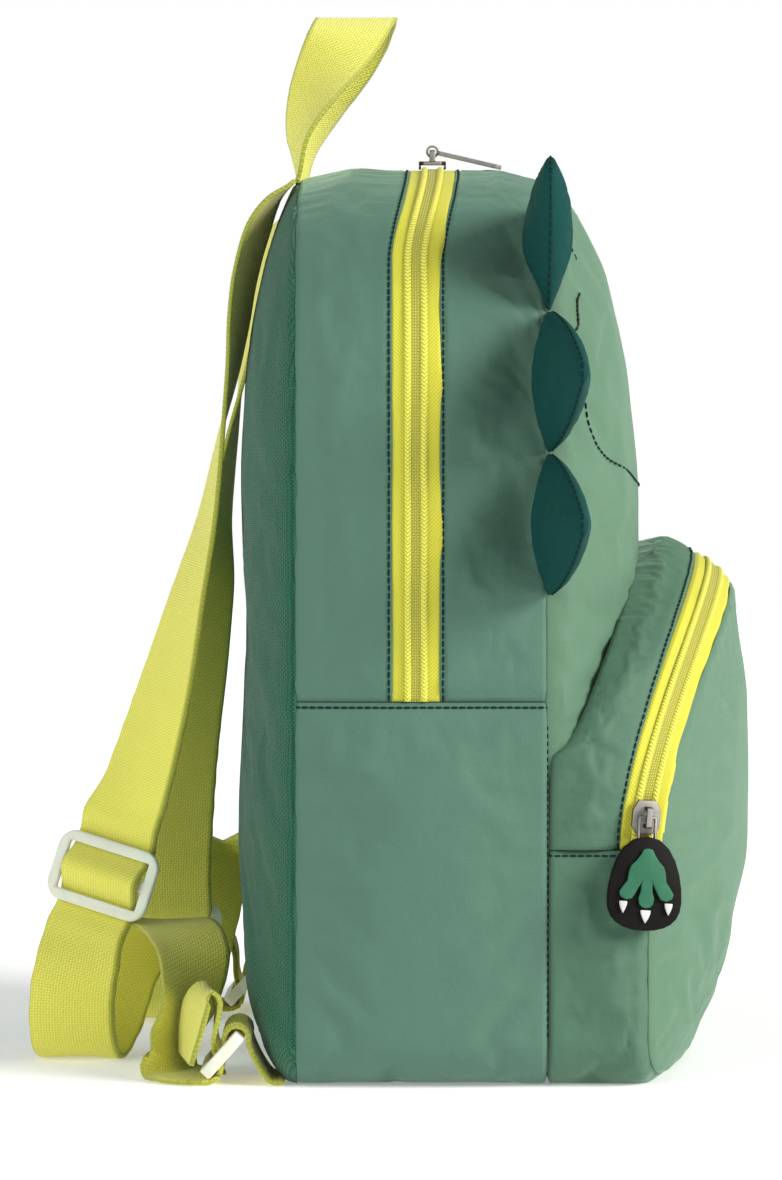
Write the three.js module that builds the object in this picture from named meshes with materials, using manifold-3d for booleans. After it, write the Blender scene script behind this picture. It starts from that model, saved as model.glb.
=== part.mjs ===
// A small children's animal backpack standing on its base: a padded bag with a zipped main
// compartment and a zipped front pocket, a row of stuffed spikes on each front seam, a carry
// handle and two webbing shoulder straps whose lower ends lie on the surface it stands on.
//
// Millimetres, +Z up. The origin is on the flat bottom. -Y is the front with the pocket, +Y the
// wearer's back, -X the wearer's left.

import * as THREE from 'three';
import { mergeVertices } from 'three/addons/utils/BufferGeometryUtils.js';
import Module from 'manifold-3d';

const wasm = await Module();
wasm.setup();

// Clearance between neighbouring pieces
const gap = 0.3;

// Bag body, measured on its seam lines
const bagHalfWidth = 122;
const bagHeight = 307;
const bagShoulder = 225;
const bagRoundness = 2.5;
const bagFootRadius = 16;
const bagDepth = 84.5;
const rearSeamY = 32.5;
const sideSeamHeight = 128;
const clothWall = 2.5;

// How far the padded walls stand out between their seams
const sidePuff = 3;
const topPuff = 4.5;
const puffSquareness = 0.7;
const seamPinch = 0.5;
const backCrown = 20;
const backEdgeRoundness = 0.8;
const backFullness = 3;
const backLowFullness = 5;
const frontCrown = 36;
const panelMiddleHeight = 150;

// Main zip
const zipTapeWidth = 15;
const zipTapeThickness = 1;
const zipSideY = -8.2;
const zipTopShift = -6.3;
const zipTurnHeight = 270;
const coilWidth = 4.4;
const coilRise = 1;

// Front pocket, measured on its seam lines
const pocketHeight = 179;
const pocketSpring = 98;
const pocketSeamHeight = 79;
const pocketWall = 2;
const pocketZipLowY = -76;
const pocketZipTopY = -108;
const pocketZipDepth = 13.5;
const pocketZipBow = 1.6;
const pocketZipSideInset = 5;
const pocketZipTopInset = 13;
const pocketSeamInset = 3;
const pocketSeamBlend = 24;
const pocketFrontY = -127;
const pocketSideY = -86;
const pocketFootY = -106;
const pocketMiddleHeight = 92;
const pocketPuff = 1.5;
const pocketBlend = 30;

// Spikes
const spikeBaseLength = 47;
const spikeStartHeight = 163;
const spikeReach = 40;
const spikeThickness = 15;
const spikeDent = 4;
const spikeDentShare = 0.26;
const spikeSharpness = 1.15;

// Webbing
const webbingWidth = 30;
const webbingThickness = 1.6;
const handleRise = 59;
const handleSpan = 62;
const handleForward = 20;
const strapSpacing = 50;
const strapReach = 75;
const strapLoopRise = 50;
const tabInset = 22;
const tabRoot = 3;

// Plastic strap hardware
const strapSliderLength = 25;
const strapSliderBar = 4;
const strapSliderThickness = 2.4;
const strapSliderCorner = 6.4;
const strapRingLength = 18;
const strapRingThickness = 4;
const strapRingCorner = 3.2;
const ringTiltDegrees = 48;
const ringY = 56;
const hardwareSideClearance = 0.6;

// Zip sliders and pulls
const sliderLength = 11;
const sliderWidth = 9.5;
const sliderPlate = 1.4;
const bridgeLength = 7;
const bridgeRise = 4;
const bridgeBar = 1.3;
const bridgeWidth = 2;
const pullLength = 27;
const pullWidth = 6;
const pullThickness = 1.6;
const pullRestDegrees = 13;
const mainSliderOffset = 30;
const pocketSliderHeight = 90;
const bailWidth = 6.6;
const bailLength = 9;
const bailBar = 1.1;

// Charm
const charmWidth = 25;
const charmHeight = 31;
const charmThickness = 3.2;
const charmPawThickness = 1;
const charmRestDegrees = 8;

// Spacing of the points along each band and round each panel
const pointSteps = {
  rearGusset: 18,
  frontGusset: 12,
  lowerGusset: 22,
  mainZip: 16,
  pocketArch: 12,
  pocketLower: 20,
  backPanel: 30,
  frontPanel: 22,
  pocketPanel: 20,
  strap: 7,
  strapReturn: 5,
  strapTab: 2.5,
};
const handleSteps = 28;

const frontSeamY = rearSeamY - bagDepth;
const tabSpacing = bagHalfWidth - tabInset;
const zipHalfWidth = zipTapeWidth / 2;
const pocketRimLean = THREE.MathUtils.degToRad(45);
const pocketZipLean = THREE.MathUtils.degToRad(15);

// Colours and finishes
const sideCloth = new THREE.MeshStandardMaterial({ color: 0x5f8672, roughness: 0.85 });
const frontCloth = new THREE.MeshStandardMaterial({ color: 0x8faf93, roughness: 0.85 });
const backCloth = new THREE.MeshStandardMaterial({ color: 0x1f6b4c, roughness: 0.95 });
const spikeCloth = new THREE.MeshStandardMaterial({ color: 0x13504c, roughness: 0.8 });
const webbing = new THREE.MeshStandardMaterial({ color: 0xcdd645, roughness: 0.9 });
const zipYellow = new THREE.MeshStandardMaterial({ color: 0xe0dd3c, roughness: 0.7 });
const steel = new THREE.MeshStandardMaterial({ color: 0xb8b8b4, roughness: 0.3, metalness: 1 });
const milkyPlastic = new THREE.MeshStandardMaterial({ color: 0xd8dccb, roughness: 0.4 });
const blackRubber = new THREE.MeshStandardMaterial({ color: 0x1c1c1c, roughness: 0.7 });
const greenRubber = new THREE.MeshStandardMaterial({ color: 0x458362, roughness: 0.7 });
const whiteRubber = new THREE.MeshStandardMaterial({ color: 0xf0f0ec, roughness: 0.6 });

const backpack = new THREE.Group();

function addPiece(name, geometry, material, place = new THREE.Matrix4()) {
  const mesh = new THREE.Mesh(geometry, material);
  mesh.name = name;
  mesh.applyMatrix4(place);
  backpack.add(mesh);
}

const lerp = THREE.MathUtils.lerp;
const smoothstep = THREE.MathUtils.smoothstep;
const stepsFrom = (count) => Array.from({ length: count + 1 }, (_, i) => i / count);

// Places from one end to the other, a local step apart
function spaced(from, to, stepAt) {
  const places = [];
  for (let at = from; at < to - stepAt(to) / 3; at += stepAt(at)) places.push(at);
  return [...places, to];
}

// Value between the rows of a table, at a position in its first named column
function tableValue(rows, key, column, position) {
  const next = rows.findIndex((row) => row[key] >= position);
  if (next === -1) return rows[rows.length - 1][column];
  if (next === 0) return rows[0][column];
  const before = rows[next - 1];
  const after = rows[next];
  return lerp(before[column], after[column], (position - before[key]) / (after[key] - before[key]));
}

// Solids made of sheets

// A closed solid from stations along a sheet. Each station has as many outer as inner points.
// With wraps the last station meets the first, and with meetsInMiddle the last column is one point.
function sheetSolid(stations, { wraps = false, meetsInMiddle = false } = {}) {
  const columns = stations[0].outer.length;
  const positions = stations.flatMap(({ outer, inner }) => [...outer, ...inner])
    .flatMap((p) => [p.x, p.y, p.z]);
  const outerAt = (i, k) => i * 2 * columns + k;
  const innerAt = (i, k) => outerAt(i, k) + columns;
  const faces = [];
  const quad = (a, b, c, d) => faces.push(a, b, c, a, c, d);
  const last = stations.length - 1;
  for (let i = 0; i <= last; i += 1) {
    if (i === last && !wraps) break;
    const j = (i + 1) % stations.length;
    for (let k = 0; k + 1 < columns; k += 1) {
      quad(outerAt(i, k), outerAt(j, k), outerAt(j, k + 1), outerAt(i, k + 1));
      quad(innerAt(i, k), innerAt(i, k + 1), innerAt(j, k + 1), innerAt(j, k));
    }
    quad(outerAt(i, 0), innerAt(i, 0), innerAt(j, 0), outerAt(j, 0));
    if (!meetsInMiddle) {
      const k = columns - 1;
      quad(outerAt(i, k), outerAt(j, k), innerAt(j, k), innerAt(i, k));
    }
  }
  if (!wraps) {
    for (let k = 0; k + 1 < columns; k += 1) {
      quad(outerAt(0, k), outerAt(0, k + 1), innerAt(0, k + 1), innerAt(0, k));
      quad(outerAt(last, k), innerAt(last, k), innerAt(last, k + 1), outerAt(last, k + 1));
    }
  }
  const geometry = new THREE.BufferGeometry();
  geometry.setAttribute('position', new THREE.Float32BufferAttribute(positions, 3));
  geometry.setIndex(faces);
  return facingOut(mergeVertices(geometry, 1e-3));
}

// Drops faces that closed to a line and turns the rest so that they face outwards
function facingOut(geometry) {
  const position = geometry.attributes.position;
  const index = geometry.index.array;
  const kept = [];
  const a = new THREE.Vector3();
  const b = new THREE.Vector3();
  const c = new THREE.Vector3();
  let volume = 0;
  for (let i = 0; i < index.length; i += 3) {
    const [p, q, r] = [index[i], index[i + 1], index[i + 2]];
    if (p === q || q === r || r === p) continue;
    kept.push([p, q, r]);
    a.fromBufferAttribute(position, p);
    b.fromBufferAttribute(position, q);
    c.fromBufferAttribute(position, r);
    volume += a.dot(b.cross(c));
  }
  geometry.setIndex(kept.flatMap(([p, q, r]) => (volume < 0 ? [p, r, q] : [p, q, r])));
  return geometry;
}

// Outlines seen from the front

// Rounded arch from its left springing over the top to its right springing, or half of it
class CrownCurve extends THREE.Curve {
  constructor(halfWidth, spring, rise, roundness) {
    super();
    Object.assign(this, { halfWidth, spring, rise, power: 2 / roundness });
  }

  getPoint(t, target = new THREE.Vector2()) {
    const angle = Math.PI * (1 - t);
    const across = Math.cos(angle);
    const up = Math.sin(angle);
    return target.set(
      this.halfWidth * Math.sign(across) * Math.abs(across) ** this.power,
      this.spring + this.rise * Math.max(up, 0) ** this.power,
    );
  }
}

// Closed outline from the bottom's middle up the left side, over the top and back
class Outline {
  constructor({ halfWidth, height, spring, roundness, footRadius }) {
    const foot = halfWidth - footRadius;
    this.toSide = foot + Math.PI * footRadius / 2;
    this.footRadius = footRadius;
    this.path = new THREE.CurvePath();
    this.path.add(new THREE.LineCurve(new THREE.Vector2(0, 0), new THREE.Vector2(-foot, 0)));
    this.path.add(new THREE.EllipseCurve(-foot, footRadius, footRadius, footRadius,
      -Math.PI / 2, -Math.PI, true));
    this.path.add(new THREE.LineCurve(new THREE.Vector2(-halfWidth, footRadius),
      new THREE.Vector2(-halfWidth, spring)));
    this.path.add(new CrownCurve(halfWidth, spring, height - spring, roundness));
    this.path.add(new THREE.LineCurve(new THREE.Vector2(halfWidth, spring),
      new THREE.Vector2(halfWidth, footRadius)));
    this.path.add(new THREE.EllipseCurve(foot, footRadius, footRadius, footRadius,
      0, -Math.PI / 2, true));
    this.path.add(new THREE.LineCurve(new THREE.Vector2(foot, 0), new THREE.Vector2(0, 0)));
    this.length = this.path.getLength();
  }

  // Share of the way round at which the left side reaches a height
  shareAt(height) {
    return (this.toSide + height - this.footRadius) / this.length;
  }

  // Step in shares, a fifth of a foot's arc on the feet
  stepNearFoot(step) {
    const arcStart = (this.toSide - Math.PI * this.footRadius / 2) / this.length;
    const arcEnd = this.toSide / this.length;
    const arcStep = (arcEnd - arcStart) / 4;
    return (share) => {
      if (share >= arcEnd - arcStep / 2) return step / this.length;
      if (share >= arcStart - arcStep / 2) return arcStep;
      return Math.min(step / this.length, arcStart - share);
    };
  }

  // Point, outward direction and across-the-sheet placing at a share of the way round
  station(share) {
    const round = (share + 1) % 1;
    const point = this.path.getPoint(round);
    const along = this.path.getTangent(round);
    const out = new THREE.Vector3(-along.y, 0, along.x);
    return {
      share,
      x: point.x,
      z: point.y,
      out,
      sideways: Math.abs(out.x),
      upward: Math.max(out.z, 0),
      at: (standOut, y) => new THREE.Vector3(point.x, y, point.y).addScaledVector(out, standOut),
    };
  }
}

const bagOutline = new Outline({
  halfWidth: bagHalfWidth,
  height: bagHeight,
  spring: bagShoulder,
  roundness: bagRoundness,
  footRadius: bagFootRadius,
});
const pocketOutline = new Outline({
  halfWidth: bagHalfWidth,
  height: pocketHeight,
  spring: pocketSpring,
  roundness: 2,
  footRadius: bagFootRadius,
});

// Gussets of the bag

// How far the gusset stands out past its seam lines
function gussetPuff(station, y) {
  const across = (y - frontSeamY) / bagDepth;
  const full = sidePuff * station.sideways ** 2 + topPuff * station.upward;
  const pinch = 1 - seamPinch * Math.exp(-(((station.z - sideSeamHeight) / clothWall / 2) ** 2));
  const crown = Math.max(1 - (2 * across - 1) ** 2, 0) ** puffSquareness;
  return full * crown * pinch;
}

// Soft dents in the front gusset, one behind each spike, with a ridge where two spikes meet
const spikeRowStart = bagOutline.shareAt(spikeStartHeight);
const spikeShare = spikeBaseLength / bagOutline.length;
const spikeCount = 3;
const dentReach = spikeBaseLength * spikeDentShare;

function spikeRowPosition(share) {
  return (Math.min(share, 1 - share) - spikeRowStart) / spikeShare;
}

function spikeDentAt(station, y) {
  const along = spikeRowPosition(station.share);
  if (along <= 0 || along >= spikeCount) return 0;
  const behind = (y - frontSeamY) / dentReach;
  return spikeDent * Math.sin(Math.PI * along) ** 2 * behind * Math.exp(1 - behind);
}

const zipMiddleY = (station) => zipSideY + zipTopShift * smoothstep(station.z, zipTurnHeight, bagHeight);

// A wall of cloth along an outline, from one edge's Y to the other's
function gussetBand(outline, shares, acrossShares, { from, to, standOut, wall }) {
  return sheetSolid(shares.map((share) => {
    const station = outline.station(share);
    const places = acrossShares.map((across) => {
      const y = lerp(from(station), to(station), across);
      return { y, out: standOut(station, y, across) };
    });
    return {
      outer: places.map(({ y, out }) => station.at(out, y)),
      inner: places.map(({ y, out }) => station.at(out - wall, y)),
    };
  }));
}

// Shares between two heights over the top
function overTheTop(outline, height, step) {
  const start = outline.shareAt(height + gap / 2);
  return spaced(start, 1 - start, () => step / outline.length);
}

// Shares between two heights under the bottom, closer together round the feet
function underTheBottom(outline, height, step) {
  const start = outline.shareAt(height - gap / 2);
  return spaced(0, start, outline.stepNearFoot(step)).reverse()
    .concat(spaced(0, start, outline.stepNearFoot(step)).slice(1).map((share) => -share));
}

// Shares all the way round
function allRound(outline, step) {
  const half = spaced(0, 0.5, outline.stepNearFoot(step));
  return half.concat(half.slice(1, -1).reverse().map((share) => 1 - share));
}

const rearGussetRows = stepsFrom(3);
const frontGussetRows = [0, 0.16, 0.38, 0.66, 1];
const lowerGussetRows = stepsFrom(5);
addPiece('gusset_rear', gussetBand(bagOutline,
  overTheTop(bagOutline, sideSeamHeight, pointSteps.rearGusset), rearGussetRows, {
    from: (station) => zipMiddleY(station) + zipHalfWidth + gap,
    to: () => rearSeamY - gap / 2,
    standOut: gussetPuff,
    wall: clothWall,
  }), sideCloth);
addPiece('gusset_front', gussetBand(bagOutline,
  overTheTop(bagOutline, sideSeamHeight, pointSteps.frontGusset), frontGussetRows, {
    from: () => frontSeamY + gap / 2,
    to: (station) => zipMiddleY(station) - zipHalfWidth - gap,
    standOut: (station, y) => gussetPuff(station, y) - spikeDentAt(station, y),
    wall: clothWall,
  }), sideCloth);
addPiece('gusset_lower', gussetBand(bagOutline,
  underTheBottom(bagOutline, sideSeamHeight, pointSteps.lowerGusset), lowerGussetRows, {
    from: () => frontSeamY + gap / 2,
    to: () => rearSeamY - gap / 2,
    standOut: gussetPuff,
    wall: clothWall,
  }), sideCloth);

// Main zip, closed over the top and down both sides

const zipShares = overTheTop(bagOutline, sideSeamHeight, pointSteps.mainZip);
const zipFace = (station) => gussetPuff(station, zipMiddleY(station)) - gap;
addPiece('main_zip_tape', gussetBand(bagOutline, zipShares, [0, 1], {
  from: (station) => zipMiddleY(station) - zipHalfWidth,
  to: (station) => zipMiddleY(station) + zipHalfWidth,
  standOut: zipFace,
  wall: zipTapeThickness,
}), zipYellow);
addPiece('main_zip_coil', sheetSolid(zipShares.map((share) => {
  const station = bagOutline.station(share);
  const foot = zipFace(station) + gap;
  const middle = zipMiddleY(station);
  const edges = [-coilWidth / 2, 0, coilWidth / 2];
  return {
    outer: edges.map((y) => station.at(foot + (y === 0 ? coilRise : coilRise / 2), middle + y)),
    inner: edges.map((y) => station.at(foot, middle + y)),
  };
})), zipYellow);

// Crowned panels

// Direction from the panel's middle and reach of its edge, for finding the crown anywhere
class PanelEdge {
  constructor(outline, inset, middleHeight) {
    this.middle = new THREE.Vector3(0, 0, middleHeight);
    this.samples = stepsFrom(240).map((share) => {
      const station = outline.station(share);
      const edge = station.at(-inset(station), 0).sub(this.middle);
      return { turn: Math.atan2(edge.x, edge.z), reach: Math.hypot(edge.x, edge.z) };
    }).sort((a, b) => a.turn - b.turn);
  }

  // Share of the way from the middle to the edge
  shareOut(x, z) {
    const up = z - this.middle.z;
    const reach = tableValue(this.samples, 'turn', 'reach', Math.atan2(x, up));
    return Math.hypot(x, up) / reach;
  }
}

// A panel whose rings run from its edge to its middle
function crownedPanel(outline, step, rings, { middleHeight, edge, face, thickness }) {
  return sheetSolid(allRound(outline, step).map((share) => {
    const station = outline.station(share);
    const rim = edge(station);
    const points = rings.map((out) => {
      const outer = new THREE.Vector3(rim.x * out, 0, lerp(middleHeight, rim.z, out));
      outer.y = face(station, rim, out);
      return { outer, inner: outer.clone().add(thickness(station, rim, out)) };
    });
    return { outer: points.map((p) => p.outer), inner: points.map((p) => p.inner) };
  }), { wraps: true, meetsInMiddle: true });
}

// Wall of a panel that meets its seam square on: inwards at the edge, straight through inside.
// The turn starts at a share of the way out.
const squareWallStart = 0.55;

function squareWall(station, rim, out, wall, toInside) {
  const atEdge = station.out.clone().multiplyScalar(-wall);
  const inside = new THREE.Vector3(0, wall * toInside, 0);
  return inside.lerp(atEdge, smoothstep(out, squareWallStart, 1));
}

// Back panel: flat in the middle, fuller towards the bottom
const backRings = [1, 0.975, 0.92, 0.82, 0.65, 0];
const fullnessAt = (station) => backFullness + backLowFullness * Math.max(-station.out.z, 0)
  + station.sideways;
addPiece('back_panel', crownedPanel(bagOutline, pointSteps.backPanel, backRings, {
  middleHeight: panelMiddleHeight,
  edge: (station) => station.at(0, 0),
  face: (station, rim, out) => rearSeamY + gap / 2
    + backCrown * Math.max(1 - out ** fullnessAt(station), 0) ** backEdgeRoundness,
  thickness: (station, rim, out) => squareWall(station, rim, out, clothWall, -1),
}), backCloth);

// Front panel: half an ellipsoid, a wall's thickness further in where the pocket covers its edge
const pocketCover = pocketWall + gap;
const frontRings = [1, 0.985, 0.94, 0.85, 0.7, 0.45, 0];
const frontInset = (station) => pocketCover
  * (1 - smoothstep(station.z, pocketSpring, pocketSpring + pocketBlend));
const frontEdge = new PanelEdge(bagOutline, frontInset, panelMiddleHeight);
const frontDepth = (out) => frontCrown * Math.sqrt(Math.max(1 - out ** 2, 0));
addPiece('front_panel', crownedPanel(bagOutline, pointSteps.frontPanel, frontRings, {
  middleHeight: panelMiddleHeight,
  edge: (station) => station.at(-frontInset(station), 0),
  face: (station, rim, out) => frontSeamY - gap / 2 - frontDepth(out),
  thickness: (station, rim, out) => squareWall(station, rim, out, clothWall, 1),
}), frontCloth);

// Y of the front panel's face at a point of the front view
const frontFaceY = (point) => frontSeamY - gap / 2 - frontDepth(frontEdge.shareOut(point.x, point.z));

// Front pocket

const pocketZipShare = (station) => THREE.MathUtils.clamp(
  (station.z - pocketSeamHeight) / (pocketHeight - pocketSeamHeight), 0, 1);
const pocketZipInnerY = (station) => lerp(pocketZipLowY, pocketZipTopY,
  pocketZipShare(station) ** pocketZipBow);
const pocketZipOuterY = (station) => pocketZipInnerY(station) - pocketZipDepth;
const pocketZipInnerInset = pocketWall;
const pocketZipOuterInset = (station) => lerp(pocketZipSideInset, pocketZipTopInset, station.upward);
const attachGap = gap * 2.5;

// Inward direction that leans from the outline towards the back
function leaningIn(station, lean) {
  return station.out.clone().multiplyScalar(-Math.cos(lean)).setY(Math.sin(lean));
}

// Edge of the pocket's front: on the zip along the arch, on the lower gusset below the seam
function pocketRim(station) {
  const alongZip = smoothstep(station.z, pocketSeamHeight - pocketSeamBlend, pocketSeamHeight);
  const footY = lerp(pocketFootY, pocketSideY, Math.min(Math.abs(station.x) / bagHalfWidth, 1) ** 2);
  const lowerY = station.z > bagFootRadius ? pocketSideY : footY;
  return {
    inset: lerp(pocketSeamInset, pocketZipOuterInset(station), alongZip),
    y: lerp(lowerY, pocketZipOuterY(station), alongZip),
  };
}

const pocketArch = overTheTop(pocketOutline, pocketSeamHeight, pointSteps.pocketArch);
const pocketUpperRows = stepsFrom(3);
addPiece('pocket_gusset_upper', sheetSolid(pocketArch.map((share) => {
  const station = pocketOutline.station(share);
  const frontY = pocketZipInnerY(station) + gap / 2;
  const attachY = (standOut) => {
    const point = station.at(standOut - attachGap, 0);
    return Math.min(frontFaceY(point) - attachGap, frontSeamY - gap / 2);
  };
  const rows = pocketUpperRows.map((across) => {
    const standOut = pocketPuff * Math.sin(Math.PI * across) - pocketZipInnerInset * across ** 3;
    const thickness = leaningIn(station, pocketZipLean * across).multiplyScalar(pocketWall);
    const outer = station.at(standOut, lerp(attachY(standOut), frontY, across));
    const inner = station.at(standOut, lerp(attachY(standOut - pocketWall), frontY, across)).add(thickness);
    return { outer, inner };
  });
  return { outer: rows.map((row) => row.outer), inner: rows.map((row) => row.inner) };
})), frontCloth);

// A strip of the pocket zip between two shares of the tape's width, raised off the tape
function pocketZipStrip(edges, rises, thickness) {
  return sheetSolid(pocketArch.map((share) => {
    const station = pocketOutline.station(share);
    const inner = station.at(-pocketZipInnerInset, pocketZipInnerY(station) - gap / 2);
    const outer = station.at(-pocketZipOuterInset(station), pocketZipOuterY(station) + gap / 2);
    const points = edges.map((edge, i) => {
      const lean = lerp(pocketZipLean, pocketRimLean, edge);
      const inwards = leaningIn(station, lean);
      const foot = inner.clone().lerp(outer, edge);
      return {
        outer: foot.clone().addScaledVector(inwards, -rises[i]),
        inner: foot.clone().addScaledVector(inwards, thickness),
      };
    });
    return { outer: points.map((p) => p.outer), inner: points.map((p) => p.inner) };
  }));
}

const coilShare = coilWidth / zipTapeWidth / 2;
addPiece('pocket_zip_tape', pocketZipStrip([0, 0.5, 1], [0, 0, 0], zipTapeThickness), zipYellow);
addPiece('pocket_zip_coil', pocketZipStrip([0.5 - coilShare, 0.5, 0.5 + coilShare],
  [gap + coilRise / 2, gap + coilRise, gap + coilRise / 2], -gap), zipYellow);

// Lower gusset: both sides and the flat bottom, turning in at its front edge
const pocketLowerRows = [0, 0.45, 0.85, 1];
addPiece('pocket_gusset_lower', sheetSolid(
  underTheBottom(pocketOutline, pocketSeamHeight, pointSteps.pocketLower).map((share) => {
    const station = pocketOutline.station(share);
    const rim = pocketRim(station);
    const points = pocketLowerRows.map((across) => {
      const standOut = across === 1 ? -rim.inset : 0;
      const outer = station.at(standOut, lerp(frontSeamY - gap / 2, rim.y + gap, across));
      const lean = pocketRimLean * smoothstep(across, pocketLowerRows[1], 1);
      return { outer, inner: outer.clone().addScaledVector(leaningIn(station, lean), pocketWall) };
    });
    return { outer: points.map((p) => p.outer), inner: points.map((p) => p.inner) };
  }),
), frontCloth);

// Pocket front
const pocketRings = [1, 0.9, 0.75, 0.5, 0];
addPiece('pocket_panel', crownedPanel(pocketOutline, pointSteps.pocketPanel, pocketRings, {
  middleHeight: pocketMiddleHeight,
  edge: (station) => {
    const rim = pocketRim(station);
    return station.at(-rim.inset - gap, rim.y - gap);
  },
  face: (station, rim, out) => lerp(rim.y, pocketFrontY, 1 - out ** 2),
  thickness: (station, rim, out) => {
    const straight = new THREE.Vector3(0, pocketWall, 0);
    return straight.lerp(leaningIn(station, pocketRimLean).multiplyScalar(pocketWall), out ** 3);
  },
}), frontCloth);

// Spikes

// Shares of the spike's length and thickness from its base to its blunt tip
const spikeProfile = [
  { height: 0, length: 0.5, thickness: 0.25 },
  { height: 0, length: 1, thickness: 0.5 },
  { height: 0.15, length: 0.96, thickness: 0.92 },
  { height: 0.4, length: 0.82, thickness: 0.95 },
  { height: 0.7, length: 0.55, thickness: 0.72 },
  { height: 1, length: 0.14, thickness: 0.24 },
];
// Lean of each spike towards the front, from the lowest up
const spikeRow = [{ lean: 13 }, { lean: 13 }, { lean: 0 }];
const spikeSeat = gap * 3;
const spikeRingPoints = 10;

function spike(order, side) {
  const middle = spikeRowStart + (order + 0.5) * spikeShare;
  const shareOnSide = (share) => (side < 0 ? share : 1 - share);
  const up = bagOutline.station(shareOnSide(middle)).out;
  const lean = Math.tan(THREE.MathUtils.degToRad(spikeRow[order].lean));
  const halfShare = (spikeShare - gap / bagOutline.length) / 2;
  const rings = spikeProfile.map((row) => stepsFrom(spikeRingPoints).slice(0, -1).map((turn) => {
    const angle = turn * 2 * Math.PI;
    const foot = bagOutline.station(shareOnSide(middle + halfShare * row.length * Math.cos(angle)));
    const thick = Math.sign(Math.sin(angle)) * Math.abs(Math.sin(angle)) ** spikeSharpness;
    const offSeam = thick * row.thickness * spikeThickness / 2;
    const behind = frontSeamY + Math.max(offSeam, 0);
    const surface = gussetPuff(foot, behind) - spikeDentAt(foot, behind);
    const standOut = spikeSeat + surface * (1 - row.height);
    return foot.at(standOut, frontSeamY + offSeam - lean * row.height * spikeReach)
      .addScaledVector(up, row.height * spikeReach);
  }));
  return loft(rings);
}

// A closed solid through rings of points, with its two ends filled
function loft(rings) {
  const count = rings[0].length;
  const ends = [rings[0], rings[rings.length - 1]].map((ring) => ring
    .reduce((sum, p) => sum.add(p), new THREE.Vector3()).divideScalar(count));
  const positions = [...rings.flat(), ...ends].flatMap((p) => [p.x, p.y, p.z]);
  const faces = [];
  const lastRing = (rings.length - 1) * count;
  for (let k = 0; k < count; k += 1) {
    const next = (k + 1) % count;
    for (let i = 0; i < lastRing; i += count) {
      faces.push(i + k, i + next, i + count + next, i + k, i + count + next, i + count + k);
    }
    faces.push(rings.length * count, next, k);
    faces.push(rings.length * count + 1, lastRing + k, lastRing + next);
  }
  const geometry = new THREE.BufferGeometry();
  geometry.setAttribute('position', new THREE.Float32BufferAttribute(positions, 3));
  geometry.setIndex(faces);
  return facingOut(mergeVertices(geometry, 1e-3));
}

for (const [word, side] of [['left', -1], ['right', 1]]) {
  for (let order = 0; order < spikeCount; order += 1) {
    addPiece(`spike_${word}_${order + 1}`, spike(order, side), spikeCloth);
  }
}

// Webbing

const layerStep = webbingThickness + 2 * gap;
const weaveLift = strapSliderThickness + gap * 2.5;
const weavePeriod = (strapSliderLength - strapSliderBar) / 2;

// Route of a strip of webbing. Each stop has a point and the direction of the strip's width. Near
// a slider the strip runs straight and flat.
class Webbing {
  constructor(stops) {
    this.stops = stops;
    this.curve = new THREE.CatmullRomCurve3(stops.map((stop) => stop.point), false, 'centripetal');
    this.curve.arcLengthDivisions = stops.length * 30;
    this.length = this.curve.getLength();
  }

  // Distance along the strip at which it passes a stop
  distanceTo(order) {
    const part = order / (this.stops.length - 1);
    return this.curve.getLengths()[Math.round(part * this.curve.arcLengthDivisions)];
  }

  frame(distance) {
    const u = THREE.MathUtils.clamp(distance / this.length, 0, 1);
    const t = this.curve.getUtoTmapping(u);
    const last = this.stops.length - 1;
    const before = Math.min(Math.floor(t * last), last - 1);
    const along = this.curve.getTangent(t);
    const width = this.stops[before].width.clone()
      .lerp(this.stops[before + 1].width, t * last - before);
    return squared({ point: this.curve.getPoint(t), along, width });
  }

  // Frame that follows a flat piece of hardware within its reach
  frameThrough(distance, flat) {
    const frame = this.frame(distance);
    const off = distance - flat.at;
    const hold = 1 - smoothstep(Math.abs(off), flat.reach, flat.reach * 2);
    frame.point.lerp(flat.frame.point.clone().addScaledVector(flat.frame.along, off), hold);
    frame.along.lerp(flat.frame.along, hold).normalize();
    frame.width.lerp(flat.frame.width, hold);
    return squared(frame);
  }
}

// Makes a frame's width square to its route and adds the direction that the strip faces
function squared({ point, along, width }) {
  width.addScaledVector(along, -width.dot(along)).normalize();
  return { point, along, width, face: width.clone().cross(along) };
}

// A strip of webbing through frames, raised off them. Where it would sink, it lies on the surface
// or on the layers below it.
function strip(frames, { raise = () => 0, layer = 0 } = {}) {
  return sheetSolid(frames.map(({ point, width, face }, order) => {
    const middle = point.clone().addScaledVector(face, raise(order));
    const corner = (side, level) => {
      const place = middle.clone().addScaledVector(width, side * webbingWidth / 2)
        .addScaledVector(face, level * webbingThickness / 2);
      const resting = gap + layer * layerStep + (level * face.z > 0 ? webbingThickness : 0);
      return place.setZ(Math.max(place.z, resting));
    };
    return { outer: [corner(-1, 1), corner(1, 1)], inner: [corner(-1, -1), corner(1, -1)] };
  }));
}

// Width direction turned from across the bag (X) towards the back (Y), and banked upwards
function widthTurned(turn, bank = 0) {
  const turned = THREE.MathUtils.degToRad(turn);
  const banked = THREE.MathUtils.degToRad(bank);
  return new THREE.Vector3(Math.cos(turned) * Math.cos(banked), Math.sin(turned),
    Math.cos(turned) * Math.sin(banked));
}

// Height of the bag's outline at a distance from its middle
const outlineHeightAt = (x) => bagShoulder
  + (bagHeight - bagShoulder) * (1 - (x / bagHalfWidth) ** bagRoundness) ** (1 / bagRoundness);

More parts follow.
